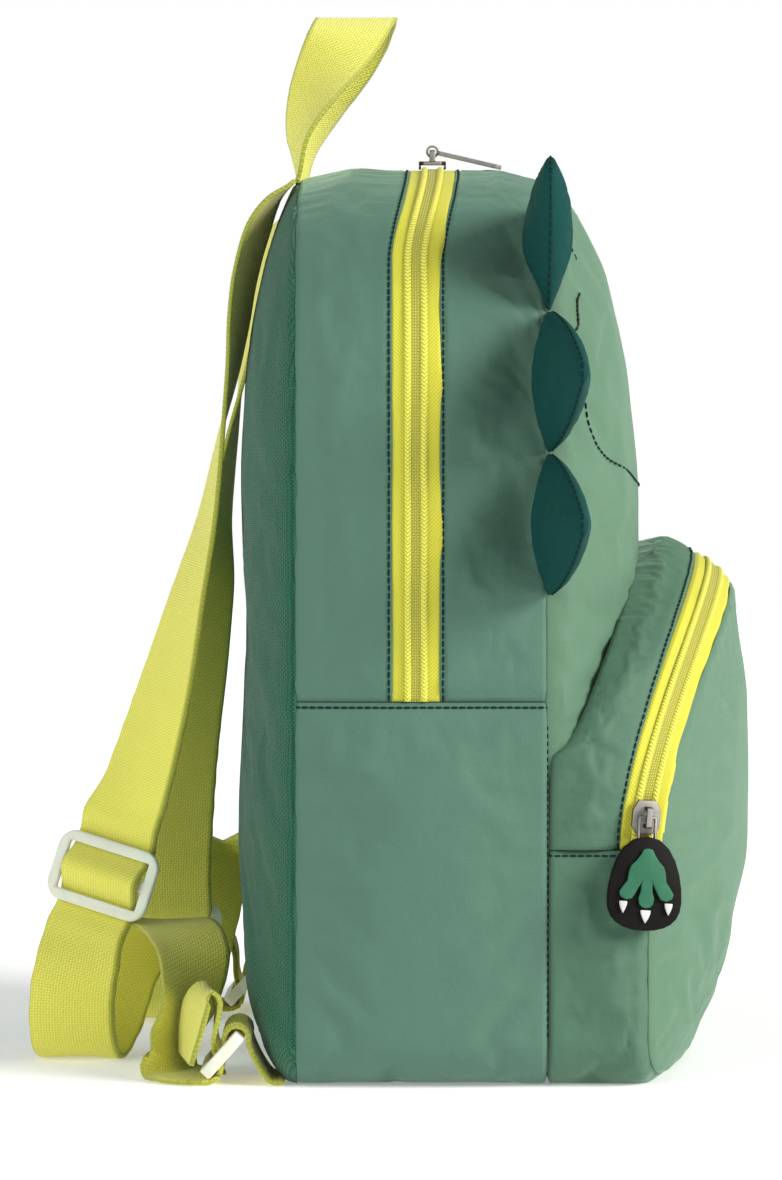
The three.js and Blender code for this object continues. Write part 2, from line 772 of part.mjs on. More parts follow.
// Carry handle: both ends stand square on the rear seam, turned a quarter at the top so that it lies
// flat in the hand
const handleStops = [
  { across: -1, rise: 0, forward: 0, turn: 0 },
  { across: -1.03, rise: 0.22, forward: 0.02, turn: 12 },
  { across: -0.86, rise: 0.55, forward: 0.35, turn: 45 },
  { across: -0.58, rise: 0.88, forward: 0.85, turn: 80 },
  { across: 0, rise: 1, forward: 1, turn: 90 },
  { across: 0.58, rise: 0.88, forward: 0.85, turn: 100 },
  { across: 0.86, rise: 0.55, forward: 0.35, turn: 135 },
  { across: 1.03, rise: 0.22, forward: 0.02, turn: 168 },
  { across: 1, rise: 0, forward: 0, turn: 180 },
];
const handleFootZ = outlineHeightAt(handleSpan / 2) + webbingThickness / 2 + gap;
const handle = new Webbing(handleStops.map(({ across, rise, forward, turn }) => ({
  point: new THREE.Vector3(across * handleSpan / 2, rearSeamY - forward * handleForward,
    handleFootZ + rise * handleRise),
  width: widthTurned(turn),
})));
addPiece('carry_handle', strip(spaced(0, handle.length, () => handle.length / handleSteps)
  .map((distance) => handle.frame(distance))), webbing);

// Strap rings: each hangs in a tab at a bottom corner, its lower bar held by the strap
const ringWidth = webbingWidth + 2 * hardwareSideClearance + 2 * strapRingThickness;
const ringBarOffset = (strapRingLength - strapRingThickness) / 2;
const ringTilt = THREE.MathUtils.degToRad(ringTiltDegrees);
const barReach = strapRingThickness * Math.SQRT1_2 + gap * 2;
const floorZ = gap + webbingThickness / 2;
const ringLowBarZ = floorZ + webbingThickness / 2 + barReach;
const ringAlong = new THREE.Vector3(0, Math.cos(ringTilt), -Math.sin(ringTilt));
const ringMiddle = (side) => new THREE.Vector3(side * tabSpacing, ringY,
  ringLowBarZ + ringBarOffset * Math.sin(ringTilt));

// Straight bars round one or two slots
const cornerSteps = 4;

function slottedPlate({ width, length, bar, thickness, corner, slots }) {
  const x = width / 2;
  const y = length / 2;
  const plate = new THREE.Shape();
  plate.moveTo(-x + corner, -y).lineTo(x - corner, -y)
    .absarc(x - corner, -y + corner, corner, -Math.PI / 2, 0)
    .lineTo(x, y - corner).absarc(x - corner, y - corner, corner, 0, Math.PI / 2)
    .lineTo(-x + corner, y).absarc(-x + corner, y - corner, corner, Math.PI / 2, Math.PI)
    .lineTo(-x, -y + corner).absarc(-x + corner, -y + corner, corner, Math.PI, Math.PI * 1.5);
  const slotLength = (length - bar * (slots + 1)) / slots;
  for (let i = 0; i < slots; i += 1) {
    const foot = -y + bar + i * (slotLength + bar);
    const hole = new THREE.Path();
    hole.moveTo(-x + bar, foot).lineTo(-x + bar, foot + slotLength)
      .lineTo(x - bar, foot + slotLength).lineTo(x - bar, foot).closePath();
    plate.holes.push(hole);
  }
  const geometry = new THREE.ExtrudeGeometry(plate,
    { depth: thickness, bevelEnabled: false, curveSegments: cornerSteps });
  return geometry.translate(0, 0, -thickness / 2);
}

const basisAt = (x, y, z, point) => new THREE.Matrix4().makeBasis(x, y, z).setPosition(point);

// Route of a shoulder strap, in shares: swing of its spacing, reach behind the rear seam, rise of
// its anchor height. The loops below the slider lift in shares of their own height instead.
const anchorZ = outlineHeightAt(strapSpacing) + webbingThickness / 2 + 2 * gap;
const upperRoute = [
  { rise: 1, reach: 0.015, turn: -6, bank: 12 },
  { rise: 0.979, reach: 0.105, turn: -10, bank: 8 },
  { rise: 0.945, reach: 0.18, turn: -14, bank: 0 },
  { rise: 0.892, reach: 0.24, turn: -14, bank: 0 },
  { rise: 0.843, reach: 0.27, turn: -12, bank: 0 },
  { rise: 0.785, reach: 0.3, turn: -5, bank: 0 },
  { rise: 0.718, reach: 0.347, turn: 4, bank: 0 },
  { rise: 0.617, reach: 0.416, turn: 14, bank: 0 },
];
const strapRoutes = {
  left: {
    upper: [
      ...upperRoute,
      { rise: 0.525, reach: 0.509, turn: 26, bank: 0 },
      { rise: 0.423, reach: 0.611, turn: 42, bank: 0 },
      { rise: 0.308, reach: 0.749, turn: 56, bank: 0 },
      { rise: 0.212, reach: 0.897, turn: 70, bank: 0 },
    ],
    loops: [
      { swing: 1.14, reach: 1.03, lift: 0.5, turn: 84 },
      { swing: 1.08, reach: 1.03, lift: 0.12, turn: 88 },
      { swing: 0.88, reach: 1, lift: 0.01, turn: 90 },
      { swing: 0.66, reach: 0.93, lift: 0.2, turn: 86 },
      { swing: 0.62, reach: 0.82, lift: 0.68, turn: 80 },
      { swing: 0.74, reach: 0.68, lift: 0.9, turn: 88 },
      { swing: 1.02, reach: 0.55, lift: 0.92, turn: 108 },
      { swing: 1.32, reach: 0.48, lift: 0.76, turn: 130 },
      { swing: 1.52, reach: 0.49, lift: 0.48, turn: 146 },
      { swing: 1.66, reach: 0.55, lift: 0.17, turn: 154 },
      { swing: 1.78, reach: 0.525, lift: 0.012, turn: 164 },
      { swing: 1.95, reach: 0.47, lift: 0, turn: 174 },
    ],
    ringTurn: 180,
    arch: [
      { reach: 0.353, lift: 0.26, turn: 0 },
      { reach: 0.342, lift: 0.44, turn: 4 },
      { reach: 0.352, lift: 0.55, turn: 10 },
      { reach: 0.385, lift: 0.58, turn: 15 },
      { reach: 0.43, lift: 0.5, turn: 19 },
      { reach: 0.464, lift: 0.3, turn: 16 },
      { reach: 0.484, lift: 0.12, turn: 10 },
    ],
  },
  right: {
    upper: [
      ...upperRoute,
      { rise: 0.54, reach: 0.47, turn: 40, bank: 0 },
      { rise: 0.44, reach: 0.53, turn: 52, bank: 0 },
      { rise: 0.34, reach: 0.59, turn: 60, bank: 0 },
      { rise: 0.24, reach: 0.63, turn: 66, bank: 0 },
      { rise: 0.108, reach: 0.66, turn: 70, bank: 0 },
    ],
    loops: [
      { swing: 1.08, reach: 0.68, lift: 0.08, turn: 84 },
      { swing: 1.25, reach: 0.67, lift: 0.02, turn: 86 },
      { swing: 1.45, reach: 0.62, lift: 0.18, turn: 80 },
      { swing: 1.52, reach: 0.54, lift: 0.6, turn: 68 },
      { swing: 1.58, reach: 0.46, lift: 1.04, turn: 56 },
      { swing: 1.68, reach: 0.42, lift: 1.28, turn: 42 },
      { swing: 1.8, reach: 0.44, lift: 1.12, turn: 28 },
      { swing: 1.9, reach: 0.49, lift: 0.7, turn: 14 },
      { swing: 1.96, reach: 0.53, lift: 0.24, turn: 4 },
    ],
    ringTurn: 0,
    arch: [
      { reach: 0.353, lift: 0.26, turn: 0 },
      { reach: 0.36, lift: 0.42, turn: 0 },
      { reach: 0.385, lift: 0.52, turn: 0 },
      { reach: 0.42, lift: 0.48, turn: 0 },
    ],
  },
};

// Angles in degrees at which webbing passes a ring's bars, from straight behind the bar over its top
const underBar = [-90, -140];
const roundBar = [210, 175, 145];
const overBar = [200, 170, 140, 110, 80, 50, 20, -10, -40, -70];

const mirrorX = new THREE.Vector3(-1, 1, 1);
// A stop given for the left side, or its mirror image with the same width line on the right
function strapStop(side, x, y, z, turn, bank = 0) {
  const width = widthTurned(turn, bank);
  const point = new THREE.Vector3(-x, y, z);
  if (side > 0) {
    point.multiply(mirrorX);
    width.multiply(mirrorX).negate();
  }
  return { point, width };
}

function strapPieces(word, side) {
  const { upper, loops, ringTurn, arch } = strapRoutes[word];
  const upperStops = upper.map(({ rise, reach, turn, bank }) => strapStop(side, strapSpacing,
    rearSeamY + reach * strapReach, rise * anchorZ, turn, bank));
  const loopStop = ({ swing, reach, lift, turn }) => strapStop(side, swing * strapSpacing,
    rearSeamY + reach * strapReach, floorZ + lift * strapLoopRise, turn);
  const loopStops = loops.map((row) => loopStop(row));
  const middle = ringMiddle(side);
  const lowBar = middle.clone().addScaledVector(ringAlong, ringBarOffset);
  const wrap = barReach + webbingThickness / 2;
  const roundBarAt = (bar, angle, turn = 0) => {
    const turned = THREE.MathUtils.degToRad(angle);
    return strapStop(side, tabSpacing, bar.y + wrap * Math.cos(turned),
      bar.z + wrap * Math.sin(turned), turn);
  };
  const outward = [...upperStops, ...loopStops,
    strapStop(side, tabSpacing, lowBar.y + wrap, floorZ, ringTurn),
    ...underBar.map((angle) => roundBarAt(lowBar, angle, ringTurn))];
  const main = new Webbing(outward);
  const sliderAt = main.distanceTo(upper.length - 1);
  const flat = { at: sliderAt, reach: strapSliderLength / 2 + strapSliderBar, frame: main.frame(sliderAt) };
  const ringAt = main.distanceTo(outward.length - 2);
  const nearHardware = (at) => {
    if (Math.abs(at - sliderAt) < weavePeriod * 1.5) return weavePeriod / 5;
    if (Math.abs(at - ringAt) < wrap * 2) return wrap / 2;
    return pointSteps.strap;
  };
  const stops = spaced(0, main.length, nearHardware);
  const frames = stops.map((distance) => main.frameThrough(distance, flat));
  const weave = (order) => {
    const off = Math.abs(stops[order] - sliderAt);
    if (off < weavePeriod) return weaveLift * Math.cos(Math.PI * off / weavePeriod);
    return -weaveLift * (1 - smoothstep(off, weavePeriod, weavePeriod * 2));
  };
  addPiece(`shoulder_strap_${word}`, strip(frames, { raise: weave }), webbing);

  // The layer back from the ring arches up and over behind the bag
  const back = new Webbing([...roundBar.map((angle) => roundBarAt(lowBar, angle)),
    ...arch.map((row) => loopStop({ ...row, swing: tabSpacing / strapSpacing }))]);
  const returnStep = (at) => (at < wrap * 3 ? wrap / 2 : pointSteps.strapReturn);
  addPiece(`strap_return_${word}`, strip(spaced(0, back.length, returnStep)
    .map((distance) => back.frame(distance)), { layer: 1 }), webbing);

  const { point, width, along, face } = flat.frame;
  addPiece(`strap_slider_${word}`, slottedPlate({
    width: ringWidth,
    length: strapSliderLength,
    bar: strapSliderBar,
    thickness: strapSliderThickness,
    corner: strapSliderCorner,
    slots: 2,
  }), milkyPlastic, basisAt(width, along, face, point));

  const across = new THREE.Vector3(1, 0, 0);
  addPiece(`strap_ring_${word}`, slottedPlate({
    width: ringWidth,
    length: strapRingLength,
    bar: strapRingThickness,
    thickness: strapRingThickness,
    corner: strapRingCorner,
    slots: 1,
  }), milkyPlastic, basisAt(across, ringAlong, across.clone().cross(ringAlong), middle));

  const highBar = middle.clone().addScaledVector(ringAlong, -ringBarOffset);
  const tab = new Webbing([
    strapStop(side, tabSpacing, rearSeamY + tabRoot, floorZ, 0),
    strapStop(side, tabSpacing, rearSeamY + tabRoot * 2.4, floorZ, 0),
    ...overBar.map((angle) => roundBarAt(highBar, angle)),
  ]);
  addPiece(`strap_tab_${word}`, strip(spaced(0, tab.length, () => pointSteps.strapTab)
    .map((distance) => tab.frame(distance))), webbing);
}

strapPieces('left', -1);
strapPieces('right', 1);

// Zip sliders

// Joins closed geometries into one solid
function toSolid(geometry) {
  const bare = geometry.clone();
  bare.deleteAttribute('normal');
  bare.deleteAttribute('uv');
  const merged = mergeVertices(bare, 1e-3);
  return new wasm.Manifold(new wasm.Mesh({
    numProp: 3,
    vertProperties: new Float32Array(merged.attributes.position.array),
    triVerts: new Uint32Array(merged.index.array),
  }));
}

function fromSolid(solid) {
  const mesh = solid.getMesh();
  const geometry = new THREE.BufferGeometry();
  geometry.setAttribute('position', new THREE.Float32BufferAttribute(mesh.vertProperties, 3));
  geometry.setIndex(Array.from(mesh.triVerts));
  return geometry;
}

const join = (...geometries) => fromSolid(geometries.map(toSolid).reduce((sum, next) => sum.add(next)));

// Slider in its own frame: +X along the zip, +Z off the tape, its underside at Z = 0
function zipSlider() {
  const nose = sliderWidth * 0.32;
  const plan = new THREE.Shape();
  plan.moveTo(-sliderLength / 2, -nose).lineTo(-sliderLength * 0.2, -sliderWidth / 2)
    .lineTo(sliderLength * 0.3, -sliderWidth / 2).lineTo(sliderLength / 2, -nose)
    .lineTo(sliderLength / 2, nose).lineTo(sliderLength * 0.3, sliderWidth / 2)
    .lineTo(-sliderLength * 0.2, sliderWidth / 2).lineTo(-sliderLength / 2, nose).closePath();
  const plate = new THREE.ExtrudeGeometry(plan, { depth: sliderPlate, bevelEnabled: false });
  const leg = bridgeLength / 2;
  const hole = leg - bridgeBar;
  const arch = new THREE.Shape();
  arch.moveTo(-leg, -bridgeBar / 2).lineTo(-leg, bridgeRise - bridgeBar / 2)
    .lineTo(-leg + bridgeBar / 2, bridgeRise).lineTo(leg - bridgeBar / 2, bridgeRise)
    .lineTo(leg, bridgeRise - bridgeBar / 2).lineTo(leg, -bridgeBar / 2)
    .lineTo(hole, -bridgeBar / 2).lineTo(hole, bridgeRise - bridgeBar)
    .lineTo(-hole, bridgeRise - bridgeBar).lineTo(-hole, -bridgeBar / 2).closePath();
  const bridge = new THREE.ExtrudeGeometry(arch, { depth: bridgeWidth, bevelEnabled: false })
    .rotateX(Math.PI / 2).translate(0, bridgeWidth / 2, sliderPlate);
  return join(plate, bridge);
}

const hingeHeight = sliderPlate + bridgeRise - bridgeBar / 2;

// Main slider near the middle of the top, its pull lying towards the front
const mainStation = bagOutline.station(0.5 - mainSliderOffset / bagOutline.length);
const mainAlong = new THREE.Vector3(mainStation.out.z, 0, -mainStation.out.x);
const acrossBag = new THREE.Vector3(0, 1, 0);
const mainFoot = mainStation.at(zipFace(mainStation) + gap + coilRise + gap, zipMiddleY(mainStation));
addPiece('main_slider', zipSlider(), steel,
  basisAt(mainAlong, mainStation.out.clone().cross(mainAlong), mainStation.out, mainFoot));

// Pull tab in its own frame: the bridge's bar passes along X through the eye at the origin, and
// the tab points along -Y
function pullTab() {
  const eyeHole = Math.hypot(bridgeBar, bridgeWidth) / 2 + gap;
  const eyeRim = eyeHole + pullThickness / 2;
  const eyeLength = bridgeLength - 2 * bridgeBar - 4 * gap;
  const eye = new THREE.Shape();
  eye.absarc(0, 0, eyeRim, 0, Math.PI * 2);
  const hole = new THREE.Path();
  hole.absarc(0, 0, eyeHole, 0, Math.PI * 2, true);
  eye.holes.push(hole);
  const eyeSolid = new THREE.ExtrudeGeometry(eye,
    { depth: eyeLength, bevelEnabled: false, curveSegments: 6 })
    .rotateY(Math.PI / 2).translate(-eyeLength / 2, 0, 0);
  const neck = pullWidth * 0.3;
  const end = pullLength - eyeRim;
  const plan = new THREE.Shape();
  plan.moveTo(-neck, -eyeRim + pullThickness / 4).lineTo(-pullWidth / 2, -eyeRim - neck)
    .lineTo(-pullWidth / 2, -end + neck).lineTo(-neck, -end)
    .lineTo(neck, -end).lineTo(pullWidth / 2, -end + neck)
    .lineTo(pullWidth / 2, -eyeRim - neck).lineTo(neck, -eyeRim + pullThickness / 4).closePath();
  const plate = new THREE.ExtrudeGeometry(plan, { depth: pullThickness, bevelEnabled: false })
    .translate(0, 0, -pullThickness / 2);
  return join(eyeSolid, plate);
}

const mainHinge = mainFoot.clone().addScaledVector(mainStation.out, hingeHeight);
const pullRest = new THREE.Matrix4().makeRotationX(THREE.MathUtils.degToRad(pullRestDegrees));
addPiece('main_pull_tab', pullTab(), steel,
  basisAt(mainAlong, acrossBag, mainStation.out, mainHinge).multiply(pullRest));

// Pocket slider on the left side of the arch, with its charm hanging from a wire bail
const pocketStation = pocketOutline.station(pocketOutline.shareAt(pocketSliderHeight));
const pocketUnder = pocketOutline.station(pocketOutline.shareAt(pocketSliderHeight - sliderLength));
function pocketTapePoint(station, across) {
  return station.at(-lerp(pocketZipInnerInset, pocketZipOuterInset(station), across),
    lerp(pocketZipInnerY(station), pocketZipOuterY(station), across));
}
const pocketDown = pocketTapePoint(pocketUnder, 0.5).sub(pocketTapePoint(pocketStation, 0.5)).normalize();
const pocketAcross = pocketTapePoint(pocketStation, 0).sub(pocketTapePoint(pocketStation, 1));
const pocketUp = pocketAcross.clone().cross(pocketDown).normalize();
const sliderAcross = pocketUp.clone().cross(pocketDown);
const pocketFoot = pocketTapePoint(pocketStation, 0.5)
  .addScaledVector(pocketUp, gap + coilRise + gap);
addPiece('pocket_slider', zipSlider(), steel,
  basisAt(pocketDown, sliderAcross, pocketUp, pocketFoot));

// Bail and charm in their own frame: the hinge is the origin, +X down, +Z off the bag
const bailOpening = (bridgeRise - bridgeBar) / 2;
const pocketHinge = pocketFoot.clone().addScaledVector(pocketUp, sliderPlate + bailOpening);
const charmPlace = basisAt(pocketDown, sliderAcross, pocketUp, pocketHinge)
  .multiply(new THREE.Matrix4().makeRotationY(THREE.MathUtils.degToRad(-charmRestDegrees)));

function bail() {
  const ring = new THREE.Shape();
  const half = bailWidth / 2;
  const top = -bailBar / 2;
  ring.moveTo(top, -half + bailBar / 2).lineTo(top + bailBar / 2, -half)
    .lineTo(top + bailLength - bailBar, -half).lineTo(top + bailLength, -half + bailBar)
    .lineTo(top + bailLength, half - bailBar).lineTo(top + bailLength - bailBar, half)
    .lineTo(top + bailBar / 2, half).lineTo(top, half - bailBar / 2).closePath();
  const hole = new THREE.Path();
  hole.moveTo(top + bailBar, -half + bailBar).lineTo(top + bailBar, half - bailBar)
    .lineTo(top + bailLength - bailBar, half - bailBar)
    .lineTo(top + bailLength - bailBar, -half + bailBar).closePath();
  ring.holes.push(hole);
  return new THREE.ExtrudeGeometry(ring, { depth: bailBar, bevelEnabled: false })
    .translate(0, 0, -bailBar / 2);
}
addPiece('pocket_pull_bail', bail(), steel, charmPlace);

// Charm: an egg-shaped rubber plate with a raised three-toed footprint and three claws
const charmTop = bailLength - bailBar * 2.5;
function charmOutline() {
  const half = charmWidth / 2;
  const egg = new THREE.Shape();
  egg.moveTo(charmTop, 0);
  egg.bezierCurveTo(charmTop, half * 0.75, charmTop + charmHeight * 0.42, half,
    charmTop + charmHeight * 0.68, half);
  egg.bezierCurveTo(charmTop + charmHeight * 0.9, half, charmTop + charmHeight, half * 0.6,
    charmTop + charmHeight, 0);
  egg.bezierCurveTo(charmTop + charmHeight, -half * 0.6, charmTop + charmHeight * 0.9, -half,
    charmTop + charmHeight * 0.68, -half);
  egg.bezierCurveTo(charmTop + charmHeight * 0.42, -half, charmTop, -half * 0.75, charmTop, 0);
  return egg;
}
function charmBase() {
  const body = new THREE.ExtrudeGeometry(charmOutline(),
    { depth: charmThickness, bevelEnabled: false, curveSegments: 6 })
    .translate(0, 0, -charmThickness / 2);
  const slotLength = bailLength - bailBar / 2 + gap - charmTop + 1;
  const slot = new THREE.BoxGeometry(slotLength, bailWidth + 2 * gap, bailBar + 2 * gap)
    .translate(charmTop - 1 + slotLength / 2, 0, 0);
  return fromSolid(toSolid(body).subtract(toSolid(slot)));
}
addPiece('charm_base', charmBase(), blackRubber, charmPlace);

// Right half of the footprint from its heel to its middle toe, and the claws, in shares of the
// charm's height downwards and of its width across
const pawHalf = [
  { down: 0.13, across: 0 },
  { down: 0.14, across: 0.06 },
  { down: 0.19, across: 0.09 },
  { down: 0.26, across: 0.15 },
  { down: 0.32, across: 0.225 },
  { down: 0.38, across: 0.25 },
  { down: 0.48, across: 0.265 },
  { down: 0.55, across: 0.33 },
  { down: 0.6, across: 0.371 },
  { down: 0.65, across: 0.355 },
  { down: 0.685, across: 0.28 },
  { down: 0.67, across: 0.2 },
  { down: 0.615, across: 0.157 },
  { down: 0.56, across: 0.12 },
  { down: 0.495, across: 0.075 },
  { down: 0.59, across: 0.08 },
  { down: 0.66, across: 0.107 },
  { down: 0.72, across: 0.095 },
  { down: 0.755, across: 0.055 },
  { down: 0.765, across: 0 },
];
const clawRow = [
  { across: -0.31, down: 0.7, length: 0.13, halfWidth: 0.055 },
  { across: 0, down: 0.785, length: 0.14, halfWidth: 0.07 },
  { across: 0.31, down: 0.7, length: 0.13, halfWidth: 0.055 },
];
const charmFace = charmThickness / 2 + gap;
const onCharm = (down, across) => new THREE.Vector2(charmTop + charmHeight * down, charmWidth * across);
const pawOutline = new THREE.Shape([
  ...pawHalf.map(({ down, across }) => onCharm(down, across)),
  ...pawHalf.slice(1, -1).reverse().map(({ down, across }) => onCharm(down, -across)),
]);
const raisedOnCharm = (outline) => new THREE.ExtrudeGeometry(outline,
  { depth: charmPawThickness, bevelEnabled: false, curveSegments: 3 }).translate(0, 0, charmFace);
addPiece('charm_paw', raisedOnCharm(pawOutline), greenRubber, charmPlace);
clawRow.forEach(({ across, down, length, halfWidth }, order) => {
  const corners = [
    onCharm(down, across - halfWidth),
    onCharm(down + length * 0.4, across - halfWidth),
    onCharm(down + length, across),
    onCharm(down + length * 0.4, across + halfWidth),
    onCharm(down, across + halfWidth),
  ];
  const claw = new THREE.Shape();
  claw.moveTo(corners[0].x, corners[0].y)
    .quadraticCurveTo(corners[1].x, corners[1].y, corners[2].x, corners[2].y)
    .quadraticCurveTo(corners[3].x, corners[3].y, corners[4].x, corners[4].y)
    .closePath();
  addPiece(`charm_claw_${order + 1}`, raisedOnCharm(claw), whiteRubber, charmPlace);
});

export default backpack;
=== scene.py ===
"""Looks of a small children's animal backpack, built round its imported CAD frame.

Shapes are worked out in millimetres and made in metres. +Z is up, -Y is the front with the
pocket, +Y the wearer's back and -X the wearer's left, which faces the camera.
"""

import math
from contextlib import contextmanager

import bmesh
import bpy
import numpy as np
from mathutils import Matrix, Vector
from mathutils.kdtree import KDTree


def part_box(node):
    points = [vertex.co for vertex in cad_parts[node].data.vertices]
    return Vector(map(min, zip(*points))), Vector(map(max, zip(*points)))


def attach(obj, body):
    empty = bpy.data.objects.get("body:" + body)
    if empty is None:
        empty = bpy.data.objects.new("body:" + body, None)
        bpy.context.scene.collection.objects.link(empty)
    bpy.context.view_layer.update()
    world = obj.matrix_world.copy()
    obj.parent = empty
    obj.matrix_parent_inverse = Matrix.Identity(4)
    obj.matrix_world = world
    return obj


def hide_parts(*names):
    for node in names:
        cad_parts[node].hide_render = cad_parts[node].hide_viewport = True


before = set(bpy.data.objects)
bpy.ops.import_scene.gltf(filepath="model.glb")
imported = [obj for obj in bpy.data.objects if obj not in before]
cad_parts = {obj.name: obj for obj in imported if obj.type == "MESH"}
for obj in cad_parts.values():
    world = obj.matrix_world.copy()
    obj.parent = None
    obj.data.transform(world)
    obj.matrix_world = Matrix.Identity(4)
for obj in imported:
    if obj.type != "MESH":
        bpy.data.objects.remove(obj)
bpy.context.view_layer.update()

MM = 0.001
BAG = "bag"
MAIN_PULL = "main_pull"
POCKET_PULL = "pocket_pull"

# Bag body, measured on its seam lines
BAG_HALF_WIDTH = 122
BAG_HEIGHT = 307
BAG_SHOULDER = 225
BAG_ROUNDNESS = 2.5
FOOT_RADIUS = 16
BAG_DEPTH = 84.5
REAR_SEAM_Y = 32.5
FRONT_SEAM_Y = REAR_SEAM_Y - BAG_DEPTH
SIDE_SEAM_HEIGHT = 128
CLOTH_WALL = 1.2

# How far the padded walls stand out between their seams, and how much flatter the panels start
# before they settle
SETTLE_ROOM = 2
SIDE_PUFF = 3
TOP_PUFF = 4.5
PUFF_SQUARENESS = 0.7
SIDE_SEAM_PINCH = 0.5
SIDE_SEAM_PINCH_REACH = 5
BACK_CROWN = 20
FRONT_CROWN = 36
PANEL_MIDDLE_HEIGHT = 150

# Main zip
ZIP_TAPE_WIDTH = 15
ZIP_SIDE_Y = -8.2
ZIP_TOP_SHIFT = -6.3
ZIP_TURN_HEIGHT = 270
CORD_SPACING = 5.5
CORD_WIDTH = 2.2
CORD_RISE = 1.0
TAPE_TUCK = 1.4

# Front pocket
POCKET_HEIGHT = 179
POCKET_SPRING = 98
POCKET_SEAM_HEIGHT = 79
POCKET_WALL = 2
POCKET_ZIP_LOW_Y = -76
POCKET_ZIP_TOP_Y = -108
POCKET_ZIP_DEPTH = 13.5
POCKET_ZIP_BOW = 1.6
POCKET_ZIP_SIDE_INSET = 5
POCKET_ZIP_TOP_INSET = 13
POCKET_RIM_INSET = 3
POCKET_RIM_TURN = 24
POCKET_FRONT_Y = -127
POCKET_SIDE_Y = -86
POCKET_FOOT_Y = -106
POCKET_MIDDLE_HEIGHT = 92
POCKET_PUFF = 1.5

# Spikes
SPIKE_BASE = 47
SPIKE_START = 163
SPIKE_REACH = 40
SPIKE_THICKNESS = 15
SPIKE_DENT = 11
DENT_REACH = SPIKE_BASE * 0.17
SPIKE_SHARPNESS = 1.15
SPIKE_LEANS = (13, 13, 0)

# Webbing and its hardware
WEBBING_WIDTH = 30
WEBBING_THICKNESS = 1.6
# Reach of the webbing's darker edges: partly a dark selvage, partly painted shade of its edge faces
SELVAGE_AND_EDGE_SHADE_REACH = 3
HANDLE_RISE = 59
HANDLE_SEWN_IN = 2.5
HANDLE_SPAN = 62
HANDLE_FORWARD = 20
STRAP_SPACING = 50
STRAP_REACH = 75
STRAP_LOOP_RISE = 50
TAB_SPACING = 100
TAB_ROOT = 3
STRAP_SLIDER_LENGTH = 25
STRAP_SLIDER_BAR = 4
STRAP_SLIDER_THICKNESS = 2.4
RING_LENGTH = 18
RING_BAR = 4
RING_TILT = math.radians(48)
RING_Y = 56

# Lines sewn on the left half of the front panel, as (x, height)
FRONT_LINES = (
    ((-86, 290), (-91, 285), (-95, 278), (-96, 271)),
    ((-113, 229), (-111, 220), (-106, 213), (-96, 208.5), (-80, 204), (-60, 201), (-30, 199)),
)
BAR_TACK = ((-105, 264), (-110, 257), (-113, 250))

# Gap between neighbouring pieces
GAP = 0.3

# Photograph: the camera's distance from the bag's middle plane, its height and its lens
CAMERA_DISTANCE = 1500
CAMERA_HEIGHT = 194.5
CAMERA_DROP = math.radians(1.23)
CAMERA_LENS = 127.7

# Studio, with the floor's size in metres
FLOOR_HALF_WIDTH = 6
FLOOR_DROP = 0.02
FLOOR_GLOW = 0.25
PAPER = (0.93, 0.93, 0.93)
PAPER_ROUGHNESS = 0.9
AMBIENT = 0.3
AMBIENT_COLOUR = (0.94, 1, 1)
LIGHTS = (
    # name, azimuth from the camera towards the bag's front, elevation, softness (degrees),
    # strength, colour
    ("key", 67, 26, 28, 3.8, (1, 0.97, 0.93)),
    ("fill", -58, 20, 60, 1.25, (0.97, 1, 1)),
    ("top", 0, 82, 60, 0.15, (1, 1, 0.98)),
)


# Numbers

def lerp(a, b, t):
    return a + (b - a) * t


def smoothstep(x, low, high):
    t = np.clip((x - low) / (high - low), 0, 1)
    return t * t * (3 - 2 * t)


def spread(*parts):
    """Places along a line from (start, end, count) parts that share their ends."""
    rows = [np.linspace(a, b, n, endpoint=False) for a, b, n in parts]
    return np.concatenate([*rows, [parts[-1][1]]])


def unit(v):
    return v / np.maximum(np.linalg.norm(v, axis=-1, keepdims=True), 1e-9)


def distances_along(path):
    """Distance of each point of a path from its start."""
    return np.concatenate([[0], np.cumsum(np.linalg.norm(np.diff(path, axis=0), axis=1))])


def read_along(at, distance, rows):
    """Rows of values at places along a path, from its points' distances."""
    return np.stack([np.interp(at, distance, rows[:, k]) for k in range(rows.shape[1])], -1)


def smoothed(rows, reach):
    """Rows averaged with their neighbours, with both ends held."""
    padded = np.concatenate([np.repeat(rows[:1], reach, 0), rows, np.repeat(rows[-1:], reach, 0)])
    kernel = np.hanning(2 * reach + 3)[1:-1]
    kernel = kernel / kernel.sum()
    return np.stack([np.convolve(padded[:, k], kernel, "valid") for k in range(rows.shape[1])], 1)


class Noise:
    """Smooth repeatable noise over a plane, from -1 to 1."""

    SIZE = 128

    def __init__(self, seed):
        self.lattice = np.random.default_rng(seed).uniform(-1, 1, (self.SIZE, self.SIZE))

    def __call__(self, u, v):
        u, v = np.broadcast_arrays(u, v)
        i, j = np.floor(u).astype(int), np.floor(v).astype(int)
        fu, fv = smoothstep(u - i, 0, 1), smoothstep(v - j, 0, 1)

        def corner(a, b):
            return self.lattice[(i + a) % self.SIZE, (j + b) % self.SIZE]

        low = lerp(corner(0, 0), corner(1, 0), fu)
        high = lerp(corner(0, 1), corner(1, 1), fu)
        return lerp(low, high, fv)


# Outlines seen from the front

